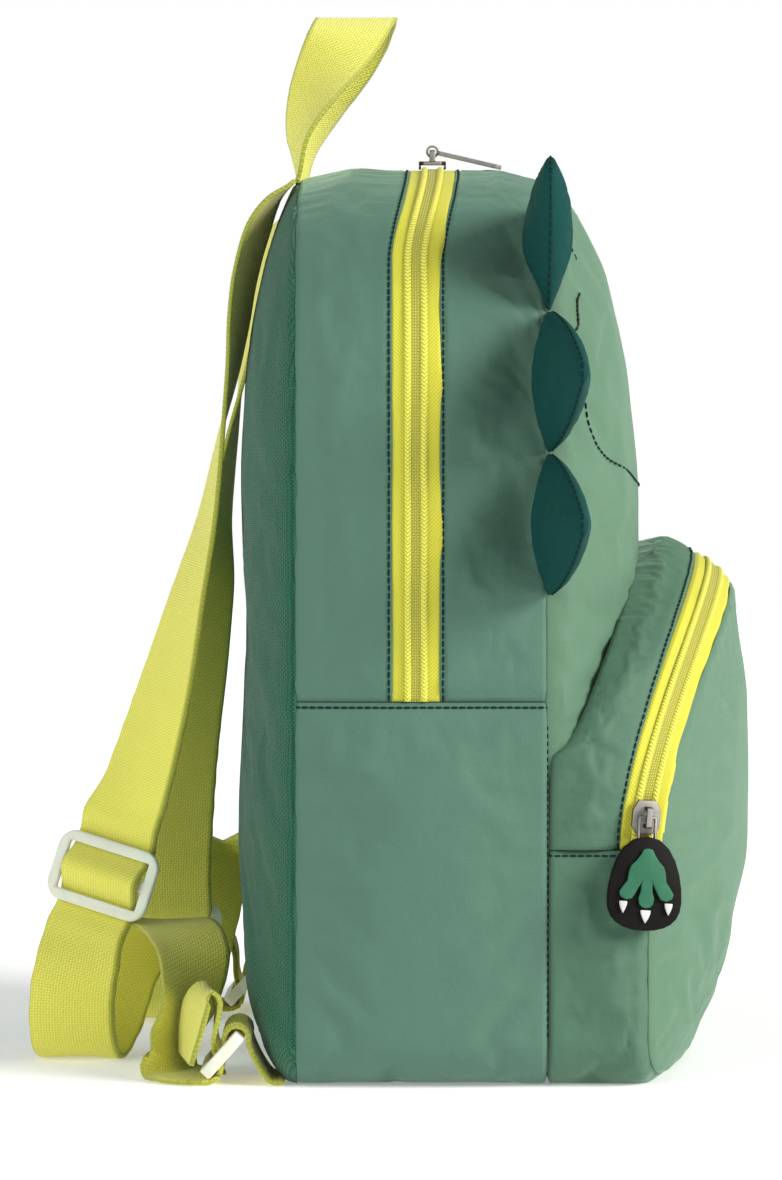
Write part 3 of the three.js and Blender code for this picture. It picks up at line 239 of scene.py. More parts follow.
class Outline:
    """Closed outline from the bottom's middle up the left side, over the top and back."""

    FOOT_STEPS = 60
    CROWN_STEPS = 400
    SAMPLES = 3000

    def __init__(self, half_width, height, spring, roundness, foot_radius):
        foot = half_width - foot_radius
        turn = np.linspace(0, math.pi / 2, self.FOOT_STEPS)
        arc = np.stack([-foot - foot_radius * np.sin(turn), foot_radius * (1 - np.cos(turn))], 1)
        power = 2 / roundness
        rise = height - spring
        turn = np.linspace(0, math.pi / 2, self.CROWN_STEPS)
        crown = np.stack([-half_width * np.cos(turn) ** power,
                          spring + rise * np.sin(turn) ** power], 1)
        crown[-1] = (0, height)
        path = np.concatenate([[(0, 0)], arc, crown])
        step = np.linalg.norm(np.diff(path, axis=0), axis=1)
        keep = np.concatenate([[True], step > 1e-9])
        path = path[keep]
        distance = distances_along(path)
        self.length = 2 * distance[-1]
        self.samples = np.linspace(0, distance[-1], self.SAMPLES)
        self.x = np.interp(self.samples, distance, path[:, 0])
        self.z = np.interp(self.samples, distance, path[:, 1])
        along = unit(np.stack([np.gradient(self.x), np.gradient(self.z)], 1))
        along[0] = along[-1] = 0
        along[0, 0], along[-1, 0] = -1, 1
        self.out_x, self.out_z = -along[:, 1], along[:, 0]
        self.foot_radius = foot_radius
        self.to_side = foot + math.pi * foot_radius / 2

    def share_at(self, height):
        return (self.to_side + height - self.foot_radius) / self.length

    def station(self, share):
        """Points of the outline, with their outward directions, at shares of the way round."""
        round_ = np.mod(np.asarray(share, float), 1)
        right = round_ > 0.5
        s = np.where(right, 1 - round_, round_) * self.length
        side = np.where(right, -1, 1)
        return Station(share, *(np.interp(s, self.samples, values) * sign for values, sign in
                                ((self.x, side), (self.z, 1), (self.out_x, side), (self.out_z, 1))))


class Station:
    def __init__(self, share, x, z, out_x, out_z):
        self.share, self.x, self.z, self.out_x, self.out_z = share, x, z, out_x, out_z
        self.sideways = np.abs(out_x)
        self.upward = np.maximum(out_z, 0)

    def at(self, stand_out, y):
        x, z = self.x + self.out_x * stand_out, self.z + self.out_z * stand_out
        return np.stack(np.broadcast_arrays(x, y, z), -1)

    def column(self):
        """The same stations as a column, to be spread over a row of places across."""
        return Station(*(np.asarray(v)[:, None] for v in
                         (self.share, self.x, self.z, self.out_x, self.out_z)))


BAG_OUTLINE = Outline(BAG_HALF_WIDTH, BAG_HEIGHT, BAG_SHOULDER, BAG_ROUNDNESS, FOOT_RADIUS)
POCKET_OUTLINE = Outline(BAG_HALF_WIDTH, POCKET_HEIGHT, POCKET_SPRING, 2, FOOT_RADIUS)


# Surfaces

def gusset_puff(station, y):
    """How far the bag's gusset stands out past its seam lines."""
    across = (y - FRONT_SEAM_Y) / BAG_DEPTH
    full = SIDE_PUFF * station.sideways ** 2 + TOP_PUFF * station.upward
    from_seam = (station.z - SIDE_SEAM_HEIGHT) / SIDE_SEAM_PINCH_REACH
    pinch = 1 - SIDE_SEAM_PINCH * np.exp(-from_seam ** 2)
    return full * pinch * np.maximum(1 - (2 * across - 1) ** 2, 0) ** PUFF_SQUARENESS


SPIKE_SHARE = SPIKE_BASE / BAG_OUTLINE.length
SPIKE_ROW_START = BAG_OUTLINE.share_at(SPIKE_START)


def spike_position(share):
    """Place along the row of spikes, 1 for each spike from the lowest up."""
    return (np.minimum(share, 1 - share) - SPIKE_ROW_START) / SPIKE_SHARE


def spike_dent(station, y):
    """How far the gusset dips behind each spike, with a ridge where two spikes meet."""
    along = spike_position(station.share)
    behind = np.maximum(y - FRONT_SEAM_Y, 0) / DENT_REACH
    dent = SPIKE_DENT * np.sin(math.pi * along) ** 2 * behind * np.exp(1 - behind)
    return np.where((along > 0) & (along < len(SPIKE_LEANS)), dent, 0)


def zip_middle(station):
    return ZIP_SIDE_Y + ZIP_TOP_SHIFT * smoothstep(station.z, ZIP_TURN_HEIGHT, BAG_HEIGHT)


def pocket_zip_inner_y(station):
    share = np.clip((station.z - POCKET_SEAM_HEIGHT) / (POCKET_HEIGHT - POCKET_SEAM_HEIGHT), 0, 1)
    return lerp(POCKET_ZIP_LOW_Y, POCKET_ZIP_TOP_Y, share ** POCKET_ZIP_BOW)


def pocket_zip_outer_inset(station):
    return lerp(POCKET_ZIP_SIDE_INSET, POCKET_ZIP_TOP_INSET, station.upward)


def pocket_rim(station):
    """Inset and Y of the edge of the pocket's front."""
    along_zip = smoothstep(station.z, POCKET_SEAM_HEIGHT - POCKET_RIM_TURN, POCKET_SEAM_HEIGHT)
    reach = np.minimum(np.abs(station.x) / BAG_HALF_WIDTH, 1) ** 2
    foot_y = lerp(POCKET_FOOT_Y, POCKET_SIDE_Y, reach)
    lower_y = np.where(station.z > FOOT_RADIUS, POCKET_SIDE_Y, foot_y)
    return (lerp(POCKET_RIM_INSET, pocket_zip_outer_inset(station), along_zip),
            lerp(lower_y, pocket_zip_inner_y(station) - POCKET_ZIP_DEPTH, along_zip))


# Making meshes

def new_piece(name, mesh, material, slot, body=BAG):
    """An object in the scene that rides on a body and takes the given material; its slot is not
    used.
    """
    piece = bpy.data.objects.new(name, mesh)
    bpy.context.collection.objects.link(piece)
    mesh.materials.clear()
    mesh.materials.append(material)
    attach(piece, body)
    return piece


def mesh_of(name, points, faces, uvs=None):
    """A smooth mesh from points in millimetres. uvs has a pair for each point of each face."""
    mesh = bpy.data.meshes.new(name)
    mesh.from_pydata((np.asarray(points).reshape(-1, 3) * MM).tolist(), [], faces)
    if uvs is not None:
        layer = mesh.uv_layers.new(name="cloth")
        layer.data.foreach_set("uv", np.asarray(uvs, float).ravel())
    mesh.shade_smooth()
    return mesh


def grid_mesh(name, points, uv):
    """A mesh through a grid of points. uv holds the cloth's own millimetres at each point."""
    rows, columns = points.shape[:2]
    i, j = (a.ravel() for a in np.meshgrid(np.arange(rows - 1), np.arange(columns - 1),
                                           indexing="ij"))
    corners = [(i, j), (i + 1, j), (i + 1, j + 1), (i, j + 1)]
    faces = np.stack([a * columns + b for a, b in corners], 1)
    uvs = np.stack([uv[a, b] for a, b in corners], 1)
    return mesh_of(name, points, faces.tolist(), uvs)


def ring_faces(rows, count):
    """Faces of a closed body through rows of rings of points, with both ends capped."""
    i, j = (a.ravel() for a in np.meshgrid(np.arange(rows - 1), np.arange(count), indexing="ij"))
    after = (j + 1) % count
    around = [i * count + j, i * count + after, (i + 1) * count + after, (i + 1) * count + j]
    return [*np.stack(around, 1).tolist(), tuple(range(count))[::-1],
            tuple((rows - 1) * count + k for k in range(count))]


def ring_mesh(name, points, uv, cap_uv):
    """A closed mesh through rings of points. uv has one column more than a ring has points."""
    rows, count = points.shape[:2]
    i, j = (a.ravel() for a in np.meshgrid(np.arange(rows - 1), np.arange(count), indexing="ij"))
    uvs = np.stack([uv[i, j], uv[i, j + 1], uv[i + 1, j + 1], uv[i + 1, j]], 1).reshape(-1, 2)
    return mesh_of(name, points, ring_faces(rows, count), np.concatenate([uvs, cap_uv]))


@contextmanager
def reshaped(mesh):
    """The mesh as one that bmesh can work on, put back afterwards."""
    shape = bmesh.new()
    shape.from_mesh(mesh)
    yield shape
    shape.to_mesh(mesh)
    shape.free()


def walled(piece, wall):
    """Gives a sheet its thickness, inwards from its outer face."""
    solid = piece.modifiers.new("wall", "SOLIDIFY")
    solid.thickness = wall * MM
    solid.offset = -1


def flat_uv(points):
    """The cloth's own millimetres over a grid of points, from distances along both ways."""
    along = np.linalg.norm(np.diff(points, axis=0), axis=2).mean(1)
    across = np.linalg.norm(np.diff(points, axis=1), axis=2).mean(0)
    u = np.concatenate([[0], np.cumsum(along)])
    v = np.concatenate([[0], np.cumsum(across)])
    return np.stack(np.meshgrid(u, v, indexing="ij"), -1)


class Cloth:
    """A sheet of cloth as a grid of points, with normals on its outward side."""

    def __init__(self, points, outward):
        self.points = points
        normal = unit(np.cross(np.gradient(points, axis=0), np.gradient(points, axis=1)))
        side = np.sum(normal * outward, -1, keepdims=True)
        self.normals = normal * np.where(side < 0, -1, 1)

    def beside(self, edge, distance):
        """Points, and the way they face, along an edge and a distance in from it."""
        turn = {"near": lambda a: a, "far": lambda a: a[:, ::-1],
                "first": lambda a: a.swapaxes(0, 1), "last": lambda a: a[::-1].swapaxes(0, 1)}[edge]
        points, normals = turn(self.points), turn(self.normals)
        steps = np.linalg.norm(np.diff(points, axis=1), axis=2)
        reach = np.concatenate([np.zeros((len(points), 1)), np.cumsum(steps, 1)], 1)
        line, facing = ([[np.interp(distance, r, row[:, k]) for k in range(3)]
                         for r, row in zip(reach, grid)] for grid in (points, normals))
        return np.array(line), unit(np.array(facing))

    def sheet(self, name, node, material, slot, wall=CLOTH_WALL, uv=None):
        """The piece that stands for a CAD node, with a wall of the given thickness."""
        points, uv = self.points, flat_uv(self.points) if uv is None else uv
        facing = np.cross(points[1, 1] - points[0, 1], points[0, 2] - points[0, 1])
        if np.dot(facing, self.normals[0, 1]) < 0:
            points, uv = points[:, ::-1], uv[:, ::-1]
        piece = new_piece(name, grid_mesh(name, points, uv), material, slot)
        walled(piece, wall)
        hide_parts(node)
        return piece


class Settling:
    """Cloth that settles between its seams by simulation, all pieces together."""

    FRAMES = 20
    QUALITY = 6
    MASS = 0.2
    BENDING = 0.3

    def __init__(self):
        self.pieces = []

    def add(self, piece, pressure, slack, cap, held=None, middle=None):
        """Held vertices stay, or else the mesh's open edges. A panel gives its middle's height."""
        mesh = piece.data
        if held is None:
            uses = np.bincount([loop.edge_index for loop in mesh.loops], minlength=len(mesh.edges))
            held = {v for edge in mesh.edges if uses[edge.index] == 1 for v in edge.vertices}
        tree = KDTree(len(held))
        for index in held:
            tree.insert(mesh.vertices[index].co, index)
        tree.balance()
        far = np.array([tree.find(vertex.co)[2] for vertex in mesh.vertices]) / MM
        weights = 1 - smoothstep(far, HELD_REACH, HELD_FADE)
        group = piece.vertex_groups.new(name="held")
        for index, weight in enumerate(weights):
            group.add([index], weight, "REPLACE")
        self.pieces.append((piece, pressure, slack, cap, middle))

    def run(self):
        scene = bpy.context.scene
        walls = [m for piece, *_ in self.pieces for m in piece.modifiers]
        for wall in walls:
            wall.show_viewport = False
        for piece, pressure, slack, *_ in self.pieces:
            cloth = piece.modifiers.new("settling", "CLOTH")
            piece.modifiers.move(len(piece.modifiers) - 1, 0)
            cloth.settings.vertex_group_mass = "held"
            cloth.settings.quality = self.QUALITY
            cloth.settings.mass = self.MASS
            cloth.settings.bending_stiffness = self.BENDING
            cloth.settings.use_pressure = True
            cloth.settings.uniform_pressure_force = pressure
            cloth.settings.shrink_min = -slack
            cloth.settings.effector_weights.gravity = 0
            cloth.point_cache.frame_start = 1
            cloth.point_cache.frame_end = self.FRAMES
        for step in range(1, self.FRAMES + 1):
            scene.frame_set(step)
        graph = bpy.context.evaluated_depsgraph_get()
        settled = [corners(piece.evaluated_get(graph).to_mesh()) for piece, *_ in self.pieces]
        for (piece, _, _, cap, middle), places in zip(self.pieces, settled):
            piece.modifiers.remove(piece.modifiers["settling"])
            start = corners(piece.data)
            moved = places - start
            size = np.linalg.norm(moved, axis=1, keepdims=True)
            moved = moved * np.minimum(1, cap * MM / np.maximum(size, 1e-9))
            if middle is not None:
                moved = calmed(start, calmed(start, moved, middle), middle)
            places = start + moved
            on_floor = start[:, 2] < FLOOR_NEAR * MM
            places[on_floor, 2] = np.maximum(places[on_floor, 2], start[on_floor, 2])
            piece.data.vertices.foreach_set("co", places.ravel())
            piece.data.update()
            piece.vertex_groups.clear()
        for wall in walls:
            wall.show_viewport = True
        scene.frame_set(1)


def calmed(places, moved, middle):
    """Evens out movement round a panel's middle, where its mesh is finer than its folds."""
    off = np.hypot(places[:, 0], places[:, 2] - middle * MM) / MM
    tree = KDTree(len(places))
    for index in np.flatnonzero(off < CALM_REACH + CALM_RADIUS):
        tree.insert(places[index], index)
    tree.balance()
    share = 1 - smoothstep(off, CALM_REACH / 2, CALM_REACH)
    even = moved.copy()
    for index in np.flatnonzero(off < CALM_REACH):
        near = [k for _, k, _ in tree.find_range(places[index], CALM_RADIUS * MM)]
        even[index] = lerp(moved[index], moved[near].mean(0), share[index])
    return even


def corners(mesh):
    """Places of a mesh's vertices, in metres."""
    places = np.empty(3 * len(mesh.vertices))
    mesh.vertices.foreach_get("co", places)
    return places.reshape(-1, 3)


def line_on(piece, route, step):
    """Points and facings on a cloth piece along a route of (x, z) in millimetres."""
    route = np.array(route, float)
    distance = distances_along(route)
    turns = smoothed(read_along(np.arange(0, distance[-1], step), distance, route), LINE_EASE)
    mesh = piece.data
    places = corners(mesh) / MM
    facing = np.array([vertex.normal for vertex in mesh.vertices])
    points, ways = [], []
    for turn in turns:
        off = np.linalg.norm(places[:, [0, 2]] - turn, axis=1)
        near = np.argsort(off)[:LINE_NEIGHBOURS]
        share = 1 / (off[near] + LINE_SOFTENING) ** 2
        share = share[:, None] / share.sum()
        points.append((places[near] * share).sum(0) * (0, 1, 0) + (turn[0], 0, turn[1]))
        ways.append((facing[near] * share).sum(0))
    ways = unit(smoothed(np.array(ways), 3 * LINE_EASE))
    return smoothed(np.array(points), LINE_EASE) + ways * LINE_LIFT, ways


def rolled(distance, radius):
    """How far cloth drops towards its seam, at a distance from it."""
    t = np.clip(distance / radius, 0, 1)
    return radius * (1 - np.sqrt(1 - (1 - t) ** 2))


def sewn(distance, at, depth):
    """How far a line of stitches at a distance from an edge pulls the cloth in."""
    return depth * np.exp(-((distance - at) / STITCH_PULL) ** 2)


def tube(path, radius, sides):
    """Points and faces of a round tube along a path of points."""
    along = unit(np.gradient(path, axis=0))
    side = unit(np.cross(along, TUBE_UP))
    other = np.cross(along, side)
    angle = np.arange(sides) * 2 * math.pi / sides
    turned = (side[:, None] * np.cos(angle)[None, :, None]
              + other[:, None] * np.sin(angle)[None, :, None])
    rings = path[:, None] + radius[:, None, None] * turned
    return rings.reshape(-1, 3), ring_faces(len(path), sides)


def joined(shapes):
    """Points and faces of several shapes as one."""
    points, faces, start = [], [], 0
    for shape_points, shape_faces in shapes:
        points.append(shape_points)
        faces += [tuple(start + k for k in face) for face in shape_faces]
        start += len(shape_points)
    return np.concatenate(points), faces


# A way that no stitch runs along
TUBE_UP = np.array([0.31, 0.17, 0.93])

# A stitch's thickness and the places of its rings, as shares
STITCH_SWELL = np.array([0.35, 1, 1, 0.35])
STITCH_PLACES = np.array([-0.5, -0.3, 0.3, 0.5])
STITCH_SUNK = 0.75
STITCH_SIDES = 6

# Kinds of sewing: each stitch's length and radius, and the step from one to the next
ZIP_SEWING = (2.4, 0.4, 2.6)
POCKET_SEWING = (2.3, 0.33, 2.6)
SEAM_SEWING = (1.7, 0.34, 2.6)
SEAM_SPECKS = (0.5, 0.22, 2.6)
REAR_SPECKS = (0.5, 0.22, 3)
SPIKE_SEWING = (2.4, 0.4, 3)
LINE_SEWING = (2.2, 0.34, 3)
TACK_SEWING = (1.5, 0.45, 1.7)


def stitches(name, path, up, material, slot, sewing):
    """A row of sewn stitches along a path of points, on cloth that faces up."""
    length, radius, pitch = sewing
    path, up = np.asarray(path, float), np.broadcast_to(up, np.shape(path))
    distance = distances_along(path)
    middles = np.arange(pitch / 2, distance[-1], pitch)
    places = (middles[:, None] + STITCH_PLACES * length).clip(0, distance[-1])
    facing = unit(read_along(places, distance, up))
    sunk = radius * (STITCH_SWELL - STITCH_SUNK)
    line = read_along(places, distance, path) + facing * sunk[None, :, None]
    shapes = [tube(row, radius * STITCH_SWELL, STITCH_SIDES) for row in line]
    new_piece(name, mesh_of(name, *joined(shapes)), material, slot)


# Materials

class Finish:
    """A material built from nodes, with short ways to add them."""

    def __init__(self, name, roughness, **sockets):
        self.material = bpy.data.materials.new(name)
        self.material.use_nodes = True
        self.nodes = self.material.node_tree.nodes
        self.links = self.material.node_tree.links
        self.shader = self.nodes["Principled BSDF"]
        self.shader.inputs["Roughness"].default_value = roughness
        for socket, value in sockets.items():
            self.shader.inputs[socket.replace("_", " ")].default_value = value
        self.uv = self.add("ShaderNodeUVMap", uv_map="cloth").outputs["UV"]
        self.place = self.add("ShaderNodeTexCoord").outputs["Object"]

    def add(self, kind, **settings):
        node = self.nodes.new(kind)
        for key, value in settings.items():
            setattr(node, key, value)
        return node

    def feed(self, socket, value):
        if isinstance(value, bpy.types.NodeSocket):
            self.links.new(value, socket)
        else:
            socket.default_value = value

    def math(self, operation, a, b=0.0):
        node = self.add("ShaderNodeMath", operation=operation)
        self.feed(node.inputs[0], a)
        self.feed(node.inputs[1], b)
        return node.outputs[0]

    def parts(self, vector):
        return self.links.new(vector, self.add("ShaderNodeSeparateXYZ").inputs[0]).to_node.outputs

    def stretched(self, vector, scale):
        node = self.add("ShaderNodeMapping")
        self.feed(node.inputs["Vector"], vector)
        node.inputs["Scale"].default_value = scale
        return node.outputs[0]

    def noise(self, vector, scale, detail, roughness=0.55):
        node = self.add("ShaderNodeTexNoise")
        self.feed(node.inputs["Vector"], vector)
        node.inputs["Scale"].default_value = scale
        node.inputs["Detail"].default_value = detail
        node.inputs["Roughness"].default_value = roughness
        return node.outputs["Fac"]

    def ramp(self, value, *stops):
        """Colour from (place, colour) stops."""
        node = self.add("ShaderNodeValToRGB")
        self.feed(node.inputs["Fac"], value)
        while len(node.color_ramp.elements) < len(stops):
            node.color_ramp.elements.new(0.5)
        for element, (place, colour) in zip(node.color_ramp.elements, stops):
            element.position = place
            element.color = (*colour, 1)
        return node.outputs["Color"]

    def shades(self, value, colour, *stops):
        """Shades of a colour from (place, factor) stops."""
        return self.ramp(value, *((place, tuple(c * factor for c in colour))
                                  for place, factor in stops))

    def blend(self, factor, a, b, mode="MIX"):
        node = self.add("ShaderNodeMix", data_type="RGBA", blend_type=mode)
        self.feed(node.inputs["Factor"], factor)
        self.feed(node.inputs["A"], a)
        self.feed(node.inputs["B"], b)
        return node.outputs["Result"]

    def times(self, a, b):
        """One colour multiplied by another."""
        return self.blend(1.0, a, b, "MULTIPLY")

    def colour(self, value):
        self.feed(self.shader.inputs["Base Color"], value)

    def bump(self, height, distance, strength):
        """Adds relief of a height in millimetres."""
        node = self.add("ShaderNodeBump")
        node.inputs["Strength"].default_value = strength
        node.inputs["Distance"].default_value = distance * MM
        self.feed(node.inputs["Height"], height)
        normal = self.shader.inputs["Normal"]
        if normal.is_linked:
            self.links.new(normal.links[0].from_socket, node.inputs["Normal"])
        self.links.new(node.outputs[0], normal)

    def weave(self, pitch_along, pitch_across):
        """Height of a plain weave on the cloth's own millimetres."""
        u, v, _ = self.parts(self.uv)
        warp = self.math("SINE", self.math("MULTIPLY", u, math.pi / pitch_along))
        weft = self.math("SINE", self.math("MULTIPLY", v, math.pi / pitch_across))
        over = self.math("GREATER_THAN", self.math("MULTIPLY", warp, weft), 0.0)
        up = self.math("MULTIPLY", self.math("ABSOLUTE", warp), over)
        down = self.math("MULTIPLY", self.math("ABSOLUTE", weft), self.math("SUBTRACT", 1.0, over))
        return self.math("ADD", up, down)

    def waves(self, distance, pitch):
        """A sine of a distance in millimetres, from 0 to 1."""
        turn = self.math("MULTIPLY", distance, 2 * math.pi / pitch)
        return self.math("ADD", self.math("MULTIPLY", self.math("SINE", turn), 0.5), 0.5)


WHITE = (1, 1, 1)
SHEEN_GREEN = (0.72, 1, 0.8, 1)
METAL_ROUGHNESS = 0.5


def soft_cloth(name, colour, sheen, gloss=0.35):
    """Thin crinkled nylon over padding."""
    finish = Finish(name, 0.62, Sheen_Weight=sheen, Sheen_Roughness=0.35,
                    Sheen_Tint=SHEEN_GREEN, Specular_IOR_Level=gloss)
    wide = finish.noise(finish.place, scale=9, detail=2)
    crinkle = finish.noise(finish.stretched(finish.uv, (0.5, 0.3, 1)), scale=1, detail=5,
                           roughness=0.62)
    fine = finish.noise(finish.stretched(finish.uv, (1.4, 2.2, 1)), scale=1, detail=2)
    tone = finish.shades(wide, colour, (0.3, 0.94), (0.7, 1.05))
    grain = finish.shades(fine, WHITE, (0.3, 0.93), (0.7, 1.05))
    slack = finish.noise(finish.stretched(finish.uv, (0.07, 0.1, 1)), scale=1, detail=3)
    finish.colour(finish.times(tone, grain))
    finish.bump(crinkle, distance=0.5, strength=0.35)
    finish.bump(slack, distance=1.2, strength=0.35)
    finish.bump(finish.weave(0.45, 0.45), distance=0.05, strength=0.5)
    return finish.material


def canvas(name, colour):
    """Coarse plain-woven canvas."""
    finish = Finish(name, 0.85, Sheen_Weight=0.2, Sheen_Roughness=0.5, Specular_IOR_Level=0.25)
    weave = finish.weave(0.95, 0.75)
    wide = finish.noise(finish.place, scale=14, detail=3)
    yarn = finish.shades(weave, colour, (0.25, 0.45), (0.85, 1.3))
    tone = finish.shades(wide, WHITE, (0.3, 0.92), (0.7, 1.08))
    finish.colour(finish.times(yarn, tone))
    finish.bump(weave, distance=0.35, strength=0.8)
    return finish.material


def ribbed_webbing(name, colour):
    """Woven strap with a plain face of small ribs, and darker edges that are partly a dark selvage
    and partly painted shade of its edge faces.
    """
    finish = Finish(name, 0.78, Sheen_Weight=0.3, Sheen_Roughness=0.5, Specular_IOR_Level=0.3)
    weave = finish.weave(0.85, 1.0)
    wide = finish.noise(finish.place, scale=18, detail=3)
    yarn = finish.shades(weave, colour, (0.15, 0.78), (0.75, 1.05))
    tone = finish.shades(wide, WHITE, (0.3, 0.95), (0.7, 1.04))
    _, across, _ = finish.parts(finish.uv)
    from_edge = finish.math("PINGPONG", across, WEBBING_WIDTH / 2)
    # Darker colour along both edges: partly a dark selvage, partly painted shade of the strip's
    # edge faces.
    selvage_and_edge_shade = finish.ramp(finish.math("DIVIDE", from_edge, SELVAGE_AND_EDGE_SHADE_REACH),
                          (0.1, (0.5, 0.55, 0.4)), (0.35, (0.72, 0.75, 0.62)), (0.6, WHITE))
    finish.colour(finish.times(finish.times(yarn, tone), selvage_and_edge_shade))
    finish.bump(weave, distance=0.2, strength=0.8)
    return finish.material


def herringbone(name, colour):
    """Fine zip tape woven in lines that slant away from its middle."""
    finish = Finish(name, 0.7, Sheen_Weight=0.15)
    u, v, _ = finish.parts(finish.uv)
    side = finish.math("ABSOLUTE", v)
    lines = finish.waves(finish.math("SUBTRACT", u, side), 1.25)
    height = finish.math("ADD", lines, finish.math("MULTIPLY", finish.waves(v, 0.7), 0.35))
    finish.colour(finish.shades(height, colour, (0.1, 0.85), (0.9, 1.06)))
    finish.bump(height, distance=0.12, strength=0.6)
    return finish.material


def braided_cord(name, colour):
    """The two braided cords that hide a coil zip's teeth, with painted shade in the groove between
    them.
    """
    finish = Finish(name, 0.55, Sheen_Weight=0.15, Specular_IOR_Level=0.3)
    u, v, _ = finish.parts(finish.uv)
    off = finish.math("ABSOLUTE", finish.math("SUBTRACT", finish.math("ABSOLUTE", v),
                                              CORD_SPACING / 2))
    braid = finish.waves(finish.math("SUBTRACT", u, off), 1.3)
    groove = finish.math("MULTIPLY", finish.waves(u, 0.95), finish.waves(v, 0.8))
    on_cord = finish.math("LESS_THAN", off, CORD_WIDTH / 2)
    height = finish.math("ADD", finish.math("MULTIPLY", braid, on_cord),
                         finish.math("MULTIPLY", groove, finish.math("SUBTRACT", 1.0, on_cord)))
    cords = finish.shades(height, colour, (0.05, 0.62), (0.6, 1.1))
    # Painted shade: the groove between the cords is coloured darker than the cords.
    painted_groove_shade = finish.shades(height, colour, (0.05, 0.42), (0.7, 0.8))
    finish.colour(finish.blend(on_cord, painted_groove_shade, cords))
    finish.bump(height, distance=0.3, strength=0.8)
    return finish.material


def thread(name, colour, roughness):
    """Twisted sewing thread."""
    finish = Finish(name, roughness, Specular_IOR_Level=0.2)
    twist = finish.noise(finish.place, scale=900, detail=2)
    finish.colour(finish.shades(twist, colour, (0.3, 0.7), (0.7, 1.25)))
    finish.bump(twist, distance=0.08, strength=0.6)
    return finish.material


def milky(name, colour):
    """Translucent moulded plastic with a soft skin."""
    finish = Finish(name, 0.36, Subsurface_Weight=0.55, Subsurface_Scale=0.004,
                    Transmission_Weight=0.18, Coat_Weight=0.12)
    clouds = finish.noise(finish.place, scale=160, detail=3)
    finish.colour(finish.shades(clouds, colour, (0.3, 0.94), (0.7, 1.03)))
    skin = finish.noise(finish.place, scale=700, detail=2)
    finish.bump(skin, distance=0.04, strength=0.4)
    return finish.material


def plated(name, colour):
    """Satin plated metal with fine scratches, and a painted dark reflection where it turns away
    from the view.
    """
    finish = Finish(name, METAL_ROUGHNESS, Metallic=1.0)
    scratches = finish.noise(finish.stretched(finish.place, (2500, 300, 2500)), scale=1, detail=3)
    bright = finish.shades(scratches, colour, (0.3, 0.82), (0.7, 1.1))
    # Painted reflection: the colour darkens where the metal turns away from the view, as if dark
    # surroundings showed in it.
    painted_reflection_facing = finish.add("ShaderNodeLayerWeight").outputs["Facing"]
    rim = finish.ramp(painted_reflection_facing, (0.1, WHITE), (0.55, (0.16, 0.15, 0.14)))
    finish.colour(finish.times(bright, rim))
    rough = finish.math("ADD", finish.math("MULTIPLY", scratches, 0.25), METAL_ROUGHNESS)
    finish.feed(finish.shader.inputs["Roughness"], rough)
    finish.bump(scratches, distance=0.02, strength=0.4)
    return finish.material


def soft_rubber(name, colour, gloss):
    """Matt moulded rubber with a fine grain."""
    finish = Finish(name, 0.5, Specular_IOR_Level=gloss)
    grain = finish.noise(finish.place, scale=1500, detail=2)
    wide = finish.noise(finish.place, scale=120, detail=2)
    finish.colour(finish.shades(wide, colour, (0.3, 0.88), (0.7, 1.1)))
    finish.bump(grain, distance=0.05, strength=0.4)
    return finish.material


SIDE_GREEN = (0.08, 0.178, 0.127)
# Painted light: a lighter copy of the sides' green cloth, for the front and pocket panels
LIT_FRONT_GREEN = (0.098, 0.2, 0.124)
# Painted shade: a darker copy of the same green cloth, for the pocket's gussets
SHADED_POCKET_GREEN = (0.074, 0.168, 0.108)
BACK_GREEN = (0.013, 0.112, 0.058)
SPIKE_TEAL = (0.004, 0.055, 0.05)
LIME = (0.86, 0.83, 0.13)
ZIP_YELLOW = (0.64, 0.61, 0.04)
ZIP_CORD = (0.84, 0.8, 0.1)
DARK_TEAL = (0.002, 0.022, 0.021)
TACK_BROWN = (0.04, 0.04, 0.03)
THREAD_LIME = (0.6, 0.68, 0.1)
MILK = (0.9, 0.92, 0.78)
NICKEL = (0.4, 0.38, 0.355)
CHARM_BLACK = (0.006, 0.005, 0.005)
CHARM_GREEN = (0.032, 0.155, 0.085)
CHARM_WHITE = (0.62, 0.62, 0.6)

side_cloth = soft_cloth("side_cloth", SIDE_GREEN, sheen=0.45)
# Painted light: the front and pocket panels get a lighter copy of the same green cloth.
lit_front_cloth = soft_cloth("lit_front_cloth", LIT_FRONT_GREEN, sheen=0.5)
# Painted shade: the pocket's gussets get a darker copy of the same green cloth.
shaded_pocket_cloth = soft_cloth("shaded_pocket_cloth", SHADED_POCKET_GREEN, sheen=0.4)
spike_cloth = soft_cloth("spike_cloth", SPIKE_TEAL, sheen=0.02, gloss=0.1)
back_cloth = canvas("back_canvas", BACK_GREEN)
lime_webbing = ribbed_webbing("lime_webbing", LIME)
zip_tape = herringbone("zip_tape", ZIP_YELLOW)
zip_cord = braided_cord("zip_cord", ZIP_CORD)
dark_thread = thread("dark_thread", DARK_TEAL, 0.85)
tack_thread = thread("tack_thread", TACK_BROWN, 0.85)
lime_thread = thread("lime_thread", THREAD_LIME, 0.6)
milky_plastic = milky("milky_plastic", MILK)
metal = plated("plated_metal", NICKEL)
black_rubber = soft_rubber("black_rubber", CHARM_BLACK, gloss=0.12)
green_rubber = soft_rubber("green_rubber", CHARM_GREEN, gloss=0.2)
white_rubber = soft_rubber("white_rubber", CHARM_WHITE, gloss=0.4)


# Bag gussets

# Relief of the cloth along its edges and in its folds
SEAM_ROLL = 2.2
FOLD_ROLL = 0.9
FINE_GATHER = 2.7
CREASE_HEIGHT = 0.6
CREASE_PERIOD = 5.5
CREASE_SPREAD = 8
CREASE_REACH = 14
GUSSET_FOLDS = 0.45
RUFFLE = Noise(3)
SAG = Noise(5)

